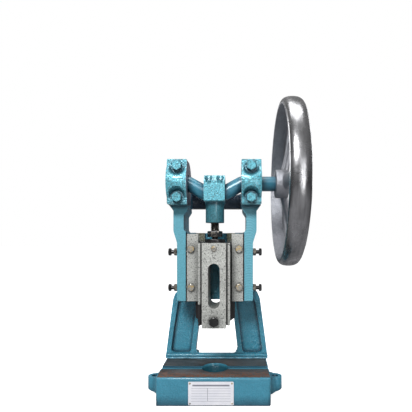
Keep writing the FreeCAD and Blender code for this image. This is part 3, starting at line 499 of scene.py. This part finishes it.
def base_material(colours):
    """Enamel on the base casting, bare machined iron with rust on the bed."""
    material, tree, shader, where = start_material("base_enamel", 0.0, 0.34, 0.3, 0.15)
    x, y, z = axes_of(tree, where)
    skin = place_group(tree, "Cast Skin", where, grain=560.0)
    coarse = place_group(tree, "Hammer Skin", where, cells=330.0)
    pits = place_group(tree, "Stain", where, size=230.0, amount=0.34)["Mask"]
    wander = times_plus(tree, noise(tree, where, 160.0, 3.0), 5.0 * MM, -2.5 * MM)
    bare = bare_bed(tree, x, y, z, wander)
    painted = math_node(tree, "SUBTRACT", 1.0, bare)

    grit = math_node(tree, "SUBTRACT", noise(tree, where, 420.0, 2.0, 0.6), 0.5)
    streak = noise(tree, stretch(tree, where, (0.35, 1.0, 1.0)), 34.0, 3.0, 0.55, 0.5)
    streak = times_plus(tree, grit, 0.35, streak)
    iron = two_tone(tree, ramp(tree, streak, 0.32, 0.68), colours.bed, 0.25, 1.7)
    # The bare bed grows lighter from left to right.
    worn = ramp(tree, x, -60 * MM, 90 * MM)
    iron = tint(tree, iron, rgba(colours.bed, 2.6), worn, 0.25)
    rust = place_group(tree, "Stain", where, size=190.0, amount=0.78)["Mask"]
    near_front = ramp(tree, y, -12 * MM, -42 * MM)
    rusty = times(tree, rust, times_plus(tree, near_front, 0.85, 0.08))
    iron = tint(tree, iron, RUST, rusty)

    paint = two_tone(tree, skin["Patch"], colours.enamel, 0.88, 1.18)
    paint = tint(tree, paint, DEEP_PIT, pits)
    paint = tint(tree, paint, rgba(colours.enamel, 1.45), coarse["Mottle"], 0.45)
    # Painted shade: the bore of the bolster hole is darkened below the bed.
    reach = math_node(tree, "SQRT", times_plus(tree, x, x, times(tree, y, y)))
    hole_shade = ramp(tree, reach, BOLSTER_RADIUS + 1.1 * MM, BOLSTER_RADIUS + 0.5 * MM)
    bed_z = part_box("base")[1].z
    hole_shade = times(tree, hole_shade, ramp(tree, z, bed_z - 1 * MM, bed_z - 7 * MM))
    paint = tint(tree, paint, HOLE_SHADE, hole_shade, 0.8)
    # Painted shade: the enamel is darkened toward the shade colour deep in corners.
    paint = tint(tree, paint, rgba(colours.shade), corners(tree, 22 * MM, 1.7))
    tree.links.new(mix_colour(tree, bare, paint, iron), shader.inputs["Base Color"])

    metal = times(tree, bare, math_node(tree, "SUBTRACT", 0.75, rusty))
    tree.links.new(math_node(tree, "MAXIMUM", metal, 0.0), shader.inputs["Metallic"])
    tree.links.new(times(tree, painted, 0.3), shader.inputs["Coat Weight"])
    rough = times_plus(tree, rusty, 0.3, times_plus(tree, bare, 0.12, 0.33))
    tree.links.new(rough, shader.inputs["Roughness"])
    bump(tree, shader, times(tree, skin["Height"], painted), 0.75, 1.1 * MM)
    bump(tree, shader, times(tree, pits, painted), 0.6, -0.7 * MM)
    bump(tree, shader, times(tree, bare, -1.0), 0.6, 0.5 * MM)
    return material


def hammered_material(colours, name, depth):
    """Hammered enamel, for the caps and the rod and, shallower, for their bolts."""
    material, tree, shader, where = start_material(name, 0.2, 0.3, 0.4, 0.1)
    x, _, z = axes_of(tree, where)
    skin = place_group(tree, "Hammer Skin", where, cells=360.0)
    cloud = place_group(tree, "Cast Skin", where, grain=600.0)
    base = two_tone(tree, skin["Mottle"], colours.hammered, 0.48, 1.75)
    base = tint(tree, base, rgba(colours.hammered, 0.7), cloud["Patch"], 0.25)
    # Pale metal flecks of the hammered paint, painted bright as glints as well.
    base = tint(tree, base, PALE_FLECK_GLINT, skin["Fleck"], 0.5)
    base = tint(tree, base, TURNED_IRON, journal_end(tree, x))
    # Painted shadow: the rod's sleeve below the big-end block is darkened where the block shades it.
    sleeve_shadow = ramp(tree, z, PIN_Z - 20 * MM, PIN_Z - 24 * MM)
    base = tint(tree, base, rgba(colours.hammered, 0.35), sleeve_shadow, 0.68)
    # Painted shade: the enamel is darkened toward the shade colour deep in corners.
    base = tint(tree, base, rgba(colours.shade), corners(tree, 11 * MM, 2.2))
    tree.links.new(base, shader.inputs["Base Color"])
    rough = times_plus(tree, skin["Fleck"], -0.08, 0.34)
    tree.links.new(rough, shader.inputs["Roughness"])
    bump(tree, shader, skin["Height"], 0.5, depth)
    bump(tree, shader, cloud["Height"], 0.2, depth * 0.5)
    return material


def shaft_material(colours):
    """Smooth gloss enamel brushed over the crankshaft."""
    material, tree, shader, where = start_material("shaft_enamel", 0.1, 0.34, 0.3, 0.22)
    skin = place_group(tree, "Cast Skin", where, grain=260.0)
    base = two_tone(tree, skin["Patch"], colours.enamel, 0.75, 1.2)
    # Painted shade: the enamel is darkened toward the shade colour deep in corners.
    base = tint(tree, base, rgba(colours.shade), corners(tree, 20 * MM, 1.5))
    tree.links.new(base, shader.inputs["Base Color"])
    rough = times_plus(tree, skin["Patch"], 0.12, 0.30)
    tree.links.new(rough, shader.inputs["Roughness"])
    bump(tree, shader, skin["Height"], 0.35, 0.6 * MM)
    return material


def bead_material(colours):
    """Thick glossy enamel that gathered along the foot."""
    material, tree, shader, where = start_material("enamel_bead", 0.0, 0.25, 0.5, 0.08)
    skin = place_group(tree, "Cast Skin", where, grain=420.0)
    hammer = place_group(tree, "Hammer Skin", where, cells=300.0)
    base = two_tone(tree, skin["Patch"], colours.enamel, 1.0, 1.7)
    base = tint(tree, base, BEAD_GLINT, hammer["Fleck"], 0.7)
    tree.links.new(base, shader.inputs["Base Color"])
    bump(tree, shader, skin["Height"], 0.6, 0.9 * MM)
    return material


def slide_material(colours):
    """Ground iron of the ram and the gibs, speckled; below the gibs the ram's flanges and its left step
    are near black.
    """
    material, tree, shader, where = start_material("ground_iron", 0.35, 0.46)
    x, _, z = axes_of(tree, where)
    speckle = place_group(tree, "Speckle", where, grain=360.0)
    base = two_tone(tree, speckle["Cloud"], colours.slide, 0.85, 1.15)
    base = tint(tree, base, DARK_GRAIN, speckle["Dark"], 0.85)
    base = tint(tree, base, PALE_GRAIN, speckle["Light"], 0.6)
    gib_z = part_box("left_gib")[0].z
    # Near black on the ram's flanges and on its left step, below the gibs.
    flanges = ramp(tree, math_node(tree, "ABSOLUTE", x), RAM_STEP, RAM_STEP + 0.3 * MM)
    left_step = ramp(tree, x, -RAM_FACE, -RAM_FACE - 0.4 * MM)
    near_black = times(tree, math_node(tree, "MAXIMUM", flanges, left_step),
                  ramp(tree, z, gib_z, gib_z - 0.5 * MM))
    base = tint(tree, base, RAM_NEAR_BLACK, near_black)
    # Painted shade: the iron is darkened deep in corners.
    base = tint(tree, base, SLIDE_CORNER_SHADE, corners(tree, 14 * MM, 1.6))
    tree.links.new(base, shader.inputs["Base Color"])
    rough = times_plus(tree, speckle["Dark"], 0.2, 0.40)
    tree.links.new(rough, shader.inputs["Roughness"])
    bump(tree, shader, speckle["Dark"], 0.35, -0.3 * MM)
    return material


def black_material(name, wear):
    """Black oxide on screws, nuts and the ball retainer, worn to bare metal in places."""
    material, tree, shader, where = start_material(name, 0.3, 0.36, 0.2, 0.25)
    speckle = place_group(tree, "Speckle", where, grain=900.0)
    stain = place_group(tree, "Stain", where, size=260.0, amount=wear)
    base = mix_colour(tree, speckle["Cloud"], *OXIDE)
    base = tint(tree, base, WORN_OXIDE, stain["Mask"], 0.6)
    tree.links.new(base, shader.inputs["Base Color"])
    rough = times_plus(tree, speckle["Dark"], 0.2, 0.32)
    tree.links.new(rough, shader.inputs["Roughness"])
    bump(tree, shader, speckle["Cloud"], 0.2, 0.3 * MM)
    return material


def zinc_material():
    """Zinc plate gone yellow in places."""
    material, tree, shader, where = start_material("zinc_plate", 0.7, 0.36)
    speckle = place_group(tree, "Speckle", where, grain=700.0)
    stain = place_group(tree, "Stain", where, size=130.0, amount=0.72)
    base = mix_colour(tree, speckle["Cloud"], *ZINC)
    base = tint(tree, base, YELLOWED_ZINC, stain["Mask"], 0.8)
    base = tint(tree, base, ZINC_SPECK, speckle["Dark"], 0.5)
    # Painted shade: the zinc is darkened deep in corners.
    base = tint(tree, base, ZINC_CORNER_SHADE, corners(tree, 5 * MM, 1.4))
    tree.links.new(base, shader.inputs["Base Color"])
    rough = times_plus(tree, stain["Mask"], 0.2, 0.3)
    tree.links.new(rough, shader.inputs["Roughness"])
    bump(tree, shader, speckle["Dark"], 0.3, 0.2 * MM)
    return material


def bronze_material():
    """Turned bronze of the bushes."""
    material, tree, shader, where = start_material("turned_bronze", 1.0, 0.3)
    speckle = place_group(tree, "Speckle", where, grain=500.0)
    base = mix_colour(tree, speckle["Cloud"], *BRONZE)
    tree.links.new(base, shader.inputs["Base Color"])
    x = axes_of(tree, where)[0]
    grooves = math_node(tree, "SINE", times(tree, x, math.tau / (0.5 * MM)))
    bump(tree, shader, grooves, 0.2, 0.05 * MM)
    return material


def steel_material():
    """Ground hardened steel of the key and the ball seat."""
    material, tree, shader, where = start_material("hardened_steel", 1.0, 0.25)
    speckle = place_group(tree, "Speckle", where, grain=800.0)
    base = mix_colour(tree, speckle["Cloud"], *HARD_STEEL)
    tree.links.new(base, shader.inputs["Base Color"])
    bump(tree, shader, speckle["Dark"], 0.15, 0.1 * MM)
    return material


def wheel_material():
    """The handwheel: a turned and polished rim, the hub, web and arms as cast."""
    material, tree, shader, where = start_material("wheel_iron", 1.0, 0.2)
    x, y, z = axes_of(tree, where)
    rise = math_node(tree, "SUBTRACT", z, SHAFT_Z)
    radius = math_node(tree, "SQRT", times_plus(tree, y, y, times(tree, rise, rise)))
    wander = times_plus(tree, noise(tree, where, 60.0, 2.0), 1.6 * MM, -0.8 * MM)
    start = 156.4 * MM
    polished = ramp(tree, math_node(tree, "ADD", radius, wander), start, start + 1.2 * MM)
    as_cast = math_node(tree, "SUBTRACT", 1.0, polished)
    skin = place_group(tree, "Cast Skin", where, grain=520.0)
    speckle = place_group(tree, "Speckle", where, grain=430.0)

    cast = mix_colour(tree, skin["Patch"], *CAST_IRON)
    cast = tint(tree, cast, CAST_GRAIN, speckle["Light"], 0.5)
    cast = tint(tree, cast, CAST_PEAK, skin["Height"], 0.12)
    # Painted shade: the cast iron is darkened deep in corners.
    cast = tint(tree, cast, CAST_CORNER_SHADE, corners(tree, 26 * MM, 1.0))
    bright = mix_colour(tree, skin["Patch"], *POLISHED_IRON)
    # Painted reflection: the polished rim's lower side is darkened in patches, as dark reflections.
    reflection_patches = ramp(tree, noise(tree, where, 22.0, 4.0, 0.6), 0.40, 0.58)
    low_reflection = times(tree, ramp(tree, rise, -60 * MM, -165 * MM), reflection_patches)
    bright = tint(tree, bright, RIM_DARK_REFLECTION, low_reflection, 0.75)
    along = stretch(tree, where, (3.0, 0.35, 0.35))
    streak = ramp(tree, noise(tree, along, 55.0, 4.0, 0.6), 0.42, 0.66)
    bright = tint(tree, bright, RIM_STREAK, streak, 0.55)
    tree.links.new(mix_colour(tree, polished, cast, bright), shader.inputs["Base Color"])

    rough = times_plus(tree, as_cast, 0.28, times_plus(tree, skin["Patch"], 0.12, 0.20))
    tree.links.new(rough, shader.inputs["Roughness"])
    bump(tree, shader, times(tree, skin["Height"], as_cast), 0.7, 1.4 * MM)
    ripple = noise(tree, where, 48.0, 3.0, 0.5)
    bump(tree, shader, times(tree, ripple, polished), 0.35, 1.6 * MM)
    turned = math_node(tree, "SINE", times(tree, x, math.tau / (0.8 * MM)))
    bump(tree, shader, times(tree, turned, polished), 0.12, 0.02 * MM)
    return material


def plate_print(tree, x, z):
    """The nameplate's print: ruled rows, a heading bar and one upright line."""
    low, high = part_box("nameplate")
    soft = 0.1 * MM
    row = (high.z - low.z) / 9.0
    count = math_node(tree, "DIVIDE", math_node(tree, "SUBTRACT", z, low.z), row)
    offset = math_node(tree, "SUBTRACT", math_node(tree, "FRACT", count), 0.5)
    rows = ramp(tree, math_node(tree, "ABSOLUTE", offset), 0.055, 0.035)
    margin = 6.0 * MM
    inside = times(tree, between(tree, x, low.x + margin, high.x - margin, soft),
                   between(tree, z, low.z + 3.0 * MM, high.z - 8.0 * MM, soft))
    margin = 8.0 * MM
    heading = times(tree, between(tree, x, low.x + margin, high.x - margin, 2 * soft),
                    between(tree, z, high.z - 8.5 * MM, high.z - 5.5 * MM, 2 * soft))
    wide = high.x - low.x
    column = between(tree, x, low.x + 0.42 * wide, low.x + 0.43 * wide, soft)
    column = times(tree, column, between(tree, z, low.z + 8 * MM, high.z - 12 * MM, soft))
    blocks = math_node(tree, "MAXIMUM", heading, column)
    return math_node(tree, "MAXIMUM", times(tree, rows, inside), blocks)


def plate_material():
    """The nameplate: satin aluminium, blank but for ruled lines."""
    material, tree, shader, where = start_material("satin_aluminium", 0.15, 0.42)
    x, _, z = axes_of(tree, where)
    speckle = place_group(tree, "Speckle", where, grain=700.0)
    print_mask = plate_print(tree, x, z)
    base = mix_colour(tree, speckle["Cloud"], *ALUMINIUM)
    base = tint(tree, base, PRINT_INK, print_mask, 0.8)
    tree.links.new(base, shader.inputs["Base Color"])
    rough = times_plus(tree, speckle["Dark"], 0.15, 0.36)
    tree.links.new(rough, shader.inputs["Roughness"])
    bump(tree, shader, print_mask, 0.4, -0.1 * MM)
    return material


def floor_material():
    """The plain pale floor, which stays grey in reflections."""
    material, tree, shader, where = start_material("floor", 0.0, 0.7)
    seen = tree.nodes.new("ShaderNodeLightPath").outputs["Is Camera Ray"]
    pale = mix_colour(tree, noise(tree, where, 3.0, 2.0), *PALE_FLOOR)
    tree.links.new(mix_colour(tree, seen, DIM_FLOOR, pale), shader.inputs["Base Color"])
    glow = mix_colour(tree, seen, NO_GLOW, FLOOR_GLOW)
    tree.links.new(glow, shader.inputs["Emission Color"])
    shader.inputs["Emission Strength"].default_value = 1.0
    return material


# ---------------------------------------------------------------- mesh tools

def coat(node, material):
    """Give a CAD node its finish."""
    slots = frame["nodes"][node].data.materials
    slots.clear()
    slots.append(material)


def coat_all(finishes):
    """Give each group of CAD nodes its finish."""
    for nodes, material in finishes:
        for node in nodes:
            coat(node, material)


def round_edges(node, width):
    """Round the sharp edges of a CAD node with modifiers; its own mesh stays as it is."""
    piece = frame["nodes"][node]
    weld = piece.modifiers.new("weld", "WELD")
    weld.merge_threshold = 0.002 * MM
    soft = piece.modifiers.new("edges", "BEVEL")
    soft.width = width
    soft.segments = 2
    soft.limit_method = "ANGLE"
    soft.angle_limit = CREASE
    soft.harden_normals = True


def new_piece(name, shape, material):
    """A finished object from a bmesh, its faces pointing outwards and its place in its mesh."""
    bmesh.ops.remove_doubles(shape, verts=shape.verts, dist=0.001 * MM)
    bmesh.ops.recalc_face_normals(shape, faces=shape.faces)
    mesh = bpy.data.meshes.new(name)
    shape.to_mesh(mesh)
    shape.free()
    mesh.materials.append(material)
    mesh.shade_smooth()
    mesh.set_sharp_from_angle(angle=CREASE)
    piece = bpy.data.objects.new(name, mesh)
    bpy.context.scene.collection.objects.link(piece)
    return piece


def lathe(shape, outline, centre, axis, steps, closed=False):
    """Spin an outline of points a full turn round an axis."""
    points = [shape.verts.new(point) for point in outline]
    pairs = list(zip(points, points[1:]))
    if closed:
        pairs.append((points[-1], points[0]))
    edges = [shape.edges.new(pair) for pair in pairs]
    bmesh.ops.spin(shape, geom=points + edges, cent=centre, axis=axis, angle=math.tau,
                   steps=steps, use_merge=True)


def skin_loops(shape, loops):
    """Bridge loops of vertices that lie one after the other, and close both ends."""
    edges = {edge: None for loop in loops for vert in loop for edge in vert.link_edges}
    bmesh.ops.bridge_loops(shape, edges=list(edges))
    for loop in (loops[0], loops[-1]):
        shape.faces.new(loop)


def rim_outline():
    """Section of the handwheel's rim and its inner web, as points (x, y, z) above the shaft."""
    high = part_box("handwheel")[1]
    right = high.x
    left = right - RIM_WIDTH
    outer = high.z - SHAFT_Z
    middle = (left + right) / 2
    half = (right - left) / 2
    crown = 12.5 * MM
    squareness = 0.8
    count = 24
    points = []
    for i in range(count + 1):
        turn = math.pi * i / count
        along = math.copysign(abs(math.cos(turn)) ** squareness, math.cos(turn))
        rise = math.sin(turn) ** squareness
        points.append((middle - half * along, outer - crown + crown * rise))
    # Down the web's right side, round its bore, up its left side and through a hollow
    # corner to the rim's left edge; radii in millimetres.
    web_left = right - WEB_THICKNESS
    section = ((right - 0.6 * MM, 150.0), (right - 1.0 * MM, 110.0), (right - 2.5 * MM, 108.0),
               (web_left + 1.5 * MM, 108.0), (web_left, 110.0), (web_left - 0.6 * MM, 142.0),
               (web_left - 3.0 * MM, 147.0), (web_left - 8.0 * MM, 149.5),
               (left + 2.5 * MM, 153.8), (left + 0.6 * MM, 154.5))
    points += [(x, radius * MM) for x, radius in section]
    return [(x, 0.0, SHAFT_Z + radius) for x, radius in points]


def hub_outline():
    """Section of the handwheel's hub, its outer edges softened, as points (x, y, z)."""
    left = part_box("wheel_key")[0].x - 2.0 * MM
    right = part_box("wheel_washer")[0].x
    soft = 2.5 * MM
    flat = HUB_RADIUS - soft
    knee = HUB_RADIUS - 0.3 * soft
    points = [(left, HUB_BORE), (left, flat), (left + 0.3 * soft, knee),
              (left + soft, HUB_RADIUS), (right - soft, HUB_RADIUS),
              (right - 0.3 * soft, knee), (right, flat), (right, HUB_BORE)]
    return [(x, 0.0, SHAFT_Z + radius) for x, radius in points]


def wheel_arm(shape, angle):
    """One flat tapered arm from the hub to the web, turned to its angle about the shaft."""
    hub_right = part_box("wheel_washer")[0].x
    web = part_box("handwheel")[1].x - 7.0 * MM
    # Distance from the shaft, half width and half thickness in millimetres, and the place
    # of the arm's middle along the shaft.
    stations = ((20, 16.0, 7.5, hub_right - 9 * MM), (45, 13.4, 7.0, hub_right - 3 * MM),
                (70, 12.5, 6.5, hub_right + 3 * MM), (92, 13.0, 6.0, hub_right + 7.5 * MM),
                (112, 14.0, 5.5, web))
    loops = []
    for distance, half_wide, half_thick, x in stations:
        made = bmesh.ops.create_circle(shape, cap_ends=False, radius=1.0, segments=24)["verts"]
        bmesh.ops.scale(shape, vec=(half_thick * MM, half_wide * MM, 1.0), verts=made)
        bmesh.ops.translate(shape, vec=(x, 0.0, SHAFT_Z + distance * MM), verts=made)
        loops.append(made)
    skin_loops(shape, loops)
    bmesh.ops.rotate(shape, cent=(0, 0, SHAFT_Z), matrix=Matrix.Rotation(angle, 3, "X"),
                     verts=[vert for loop in loops for vert in loop])


def ball_and_neck_outline():
    """Half section of the adjusting screw below its hexagon, from the ball's pole up."""
    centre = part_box("adjusting_screw")[0].z + BALL_RADIUS
    last = math.pi - math.asin(NECK_RADIUS / BALL_RADIUS)
    count = 16
    points = []
    for i in range(count + 1):
        turn = last * i / count
        points.append((BALL_RADIUS * math.sin(turn), 0.0, centre - BALL_RADIUS * math.cos(turn)))
    flare = 1.5 * MM
    points += [(NECK_RADIUS, 0.0, HEX_BOTTOM - flare), (NECK_RADIUS + flare, 0.0, HEX_BOTTOM),
               (NECK_RADIUS + flare, 0.0, HEX_BOTTOM + HEX_HEIGHT / 2)]
    return points


def hexagon(shape):
    """The adjusting screw's hexagon, the edges of its two ends softened."""
    corner = HEX_FLATS / math.sqrt(3.0)
    made = bmesh.ops.create_cone(shape, cap_ends=True, segments=6, radius1=corner,
                                 radius2=corner, depth=HEX_HEIGHT)["verts"]
    bmesh.ops.rotate(shape, cent=(0, 0, 0), matrix=Matrix.Rotation(math.radians(30), 3, "Z"),
                     verts=made)
    bmesh.ops.translate(shape, vec=(0, 0, HEX_BOTTOM + HEX_HEIGHT / 2), verts=made)
    edges = {edge: None for vert in made for edge in vert.link_edges
             if abs(edge.verts[0].co.z - edge.verts[1].co.z) < MM}
    bmesh.ops.bevel(shape, geom=list(edges), offset=1.4 * MM, offset_type="OFFSET", segments=2,
                    profile=0.5, affect="EDGES", material=-1)


def thread(shape, start, end, radius, pitch):
    """A threaded bar: a spun cylinder whose wall a V groove follows round and up."""
    rows = int((end - start) / (pitch / 8))
    step = (end - start) / rows
    outline = [(0.0, 0.0, start)]
    outline += [(radius, 0.0, start + step * i) for i in range(rows + 1)]
    outline.append((0.0, 0.0, end))
    first = len(shape.verts)
    lathe(shape, outline, (0, 0, 0), (0, 0, 1), SCREW_STEPS)
    shape.verts.ensure_lookup_table()
    depth = 0.6 * pitch
    for vert in shape.verts[first:]:
        if vert.co.xy.length < radius / 2:
            continue
        turn = math.atan2(vert.co.y, vert.co.x) / math.tau
        phase = (vert.co.z / pitch - turn) % 1.0
        groove = depth * min(1.0, abs(2.0 * phase - 1.0) * 1.25)
        near_end = min(1.0, (end - vert.co.z) / (2 * MM) + 0.2)
        vert.co.xy *= (radius - groove * near_end) / radius


# ---------------------------------------------------------------- operators

class PRESS_OT_effects(bpy.types.Operator):
    """Build the shared surface effects"""

    bl_idname = "press.effects"
    bl_label = "Surface Effects"

    def execute(self, context):
        cast_skin_group()
        hammer_skin_group()
        speckle_group()
        stain_group()
        return {"FINISHED"}


class PRESS_OT_castings(bpy.types.Operator):
    """Paint the castings, the caps with their bolts, the rod and the crankshaft"""

    bl_idname = "press.castings"
    bl_label = "Castings"

    def execute(self, context):
        colours = context.scene.press_colours
        coat("base", base_material(colours))
        coat("upright", enamel_material(colours))
        coat("crankshaft", shaft_material(colours))
        coat_all(((HAMMERED, hammered_material(colours, "hammered_enamel", 1.0 * MM)),
                  (BOLTS, hammered_material(colours, "bolt_enamel", 0.4 * MM))))
        for node in ("base", "upright") + HAMMERED:
            round_edges(node, context.scene.press_sizes.edge)
        return {"FINISHED"}


class PRESS_OT_slides(bpy.types.Operator):
    """Finish the ram and the gibs"""

    bl_idname = "press.slides"
    bl_label = "Ram and Gibs"

    def execute(self, context):
        iron = slide_material(context.scene.press_colours)
        for node in ("ram", "left_gib", "right_gib"):
            coat(node, iron)
        return {"FINISHED"}


class PRESS_OT_fittings(bpy.types.Operator):
    """Finish screws, nuts, bushes, key, seat and nameplate"""

    bl_idname = "press.fittings"
    bl_label = "Fittings"

    def execute(self, context):
        coat_all(((BLACKENED, black_material("black_oxide", 0.25)),
                  (("gib_lock_nuts",), black_material("worn_nut", 0.85)),
                  (PLATED, zinc_material()), (BUSHES, bronze_material()),
                  (("wheel_key", "ball_seat"), steel_material()),
                  (("nameplate",), plate_material())))
        return {"FINISHED"}


class PRESS_OT_screw(bpy.types.Operator):
    """Turn the adjusting screw with its thread, hexagon and ball"""

    bl_idname = "press.screw"
    bl_label = "Adjusting Screw"

    def execute(self, context):
        shape = bmesh.new()
        lathe(shape, ball_and_neck_outline(), (0, 0, 0), (0, 0, 1), SCREW_STEPS)
        open_edges = [edge for edge in shape.edges if edge.is_boundary]
        bmesh.ops.holes_fill(shape, edges=open_edges, sides=0)
        hexagon(shape)
        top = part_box("adjusting_screw")[1].z
        pitch = context.scene.press_sizes.pitch
        thread(shape, HEX_BOTTOM + HEX_HEIGHT - 0.5 * MM, top, SCREW_RADIUS, pitch)
        piece = new_piece("threaded_screw", shape, black_material("worn_screw", 0.62))
        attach(piece, "screw")
        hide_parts("adjusting_screw")
        return {"FINISHED"}


class PRESS_OT_handwheel(bpy.types.Operator):
    """Turn the handwheel's rim, web and hub, and set its arms between them"""

    bl_idname = "press.handwheel"
    bl_label = "Handwheel"

    def execute(self, context):
        shape = bmesh.new()
        centre = (0, 0, SHAFT_Z)
        rim_steps = context.scene.press_sizes.wheel_steps
        lathe(shape, rim_outline(), centre, (1, 0, 0), rim_steps, closed=True)
        lathe(shape, hub_outline(), centre, (1, 0, 0), HUB_STEPS, closed=True)
        for number in range(ARMS):
            wheel_arm(shape, FIRST_ARM - math.tau * number / ARMS)
        piece = new_piece("handwheel_casting", shape, wheel_material())
        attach(piece, "crank")
        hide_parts("handwheel")
        return {"FINISHED"}


class PRESS_OT_bead(bpy.types.Operator):
    """Lay the bead of paint that ran down to the edge of the upright's foot"""

    bl_idname = "press.bead"
    bl_label = "Paint Bead"

    def execute(self, context):
        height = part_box("base")[1].z + 0.9 * MM
        upright = Matrix.Rotation(math.radians(90), 3, "Y")
        steps = 120
        shape = bmesh.new()
        loops = []
        for i in range(steps + 1):
            x = -BEAD_HALF + 2 * BEAD_HALF * i / steps
            ends = min(1.0, (BEAD_HALF - abs(x)) / (3 * MM) + 0.15)
            swell = 1.0 + 0.35 * math.sin(x / MM * 0.21) * math.sin(x / MM * 0.083 + 1.0)
            swell += 0.15 * math.sin(x / MM * 0.9)
            radius = context.scene.press_sizes.bead * ends * swell
            made = bmesh.ops.create_circle(shape, cap_ends=False, radius=radius,
                                           segments=12)["verts"]
            bmesh.ops.rotate(shape, cent=(0, 0, 0), verts=made, matrix=upright)
            bmesh.ops.translate(shape, vec=(x, FOOT_FRONT, height), verts=made)
            loops.append(made)
        skin_loops(shape, loops)
        piece = new_piece("foot_paint_bead", shape, bead_material(context.scene.press_colours))
        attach(piece, "frame")
        return {"FINISHED"}


def area_light(name, place, target, size, power):
    """A soft rectangular lamp that looks at a point."""
    data = bpy.data.lights.new(name, "AREA")
    data.shape = "RECTANGLE"
    data.size, data.size_y = size
    data.energy = power
    lamp = bpy.data.objects.new(name, data)
    lamp.location = place
    aim = Vector(target) - Vector(place)
    lamp.rotation_euler = aim.to_track_quat("-Z", "Y").to_euler()
    bpy.context.scene.collection.objects.link(lamp)


def studio_world():
    """White backdrop for the camera, a dimmer grey sky for light and reflections."""
    world = bpy.data.worlds.new("studio")
    world.use_nodes = True
    tree = world.node_tree
    backdrop = tree.nodes["Background"]
    backdrop.inputs["Color"].default_value = (1, 1, 1, 1)
    up = axes_of(tree, tree.nodes.new("ShaderNodeTexCoord").outputs["Generated"])[2]
    sky = mix_colour(tree, ramp(tree, up, -0.15, 0.75), *STUDIO_SKY)
    soft = add(tree, "ShaderNodeBackground", {"Color": sky, "Strength": 0.30})
    seen = add(tree, "ShaderNodeLightPath").outputs["Is Camera Ray"]
    both = add(tree, "ShaderNodeMixShader", {0: seen, 1: soft.outputs[0], 2: backdrop.outputs[0]})
    tree.links.new(both.outputs[0], tree.nodes["World Output"].inputs["Surface"])
    bpy.context.scene.world = world


class PRESS_OT_stage(bpy.types.Operator):
    """Set up the floor, the lamps and the camera"""

    bl_idname = "press.stage"
    bl_label = "Studio"

    def execute(self, context):
        scene = context.scene
        scene.view_settings.view_transform = "Standard"
        studio_world()
        shape = bmesh.new()
        bmesh.ops.create_grid(shape, x_segments=2, y_segments=2, size=30.0)
        mesh = bpy.data.meshes.new("floor")
        shape.to_mesh(mesh)
        shape.free()
        mesh.materials.append(floor_material())
        floor = bpy.data.objects.new("floor", mesh)
        scene.collection.objects.link(floor)
        middle = (CAD_BOX[0] + CAD_BOX[1]) / 2
        for name, place, size, power in LAMPS:
            area_light(name, place, middle, size, power)
        data = bpy.data.cameras.new("camera")
        data.lens = scene.press_sizes.lens
        data.shift_x, data.shift_y = CAMERA_SHIFT
        camera = bpy.data.objects.new("camera", data)
        camera.location = CAMERA_PLACE
        camera.rotation_euler = (math.radians(90.0), 0.0, 0.0)
        scene.collection.objects.link(camera)
        scene.camera = camera
        return {"FINISHED"}


class PRESS_PT_panel(bpy.types.Panel):
    """Lists the steps that finish the press."""

    bl_idname = "PRESS_PT_panel"
    bl_label = "Crank Press"
    bl_space_type = "VIEW_3D"
    bl_region_type = "UI"
    bl_category = "Press"

    def draw(self, context):
        for group in (context.scene.press_colours, context.scene.press_sizes):
            for name in group.__annotations__:
                self.layout.prop(group, name)
        for step in STEPS:
            self.layout.operator(step.bl_idname)


STEPS = (PRESS_OT_effects, PRESS_OT_castings, PRESS_OT_slides, PRESS_OT_fittings,
         PRESS_OT_screw, PRESS_OT_handwheel, PRESS_OT_bead, PRESS_OT_stage)
CLASSES = (PressColours, PressSizes) + STEPS + (PRESS_PT_panel,)


def register():
    for kind in CLASSES:
        bpy.utils.register_class(kind)
    bpy.types.Scene.press_colours = PointerProperty(type=PressColours)
    bpy.types.Scene.press_sizes = PointerProperty(type=PressSizes)


def unregister():
    del bpy.types.Scene.press_sizes
    del bpy.types.Scene.press_colours
    for kind in reversed(CLASSES):
        bpy.utils.unregister_class(kind)


def main():
    """Run every step in order."""
    register()
    for step in STEPS:
        group, name = step.bl_idname.split(".")
        getattr(getattr(bpy.ops, group), name)()


if __name__ == "__main__":
    main()
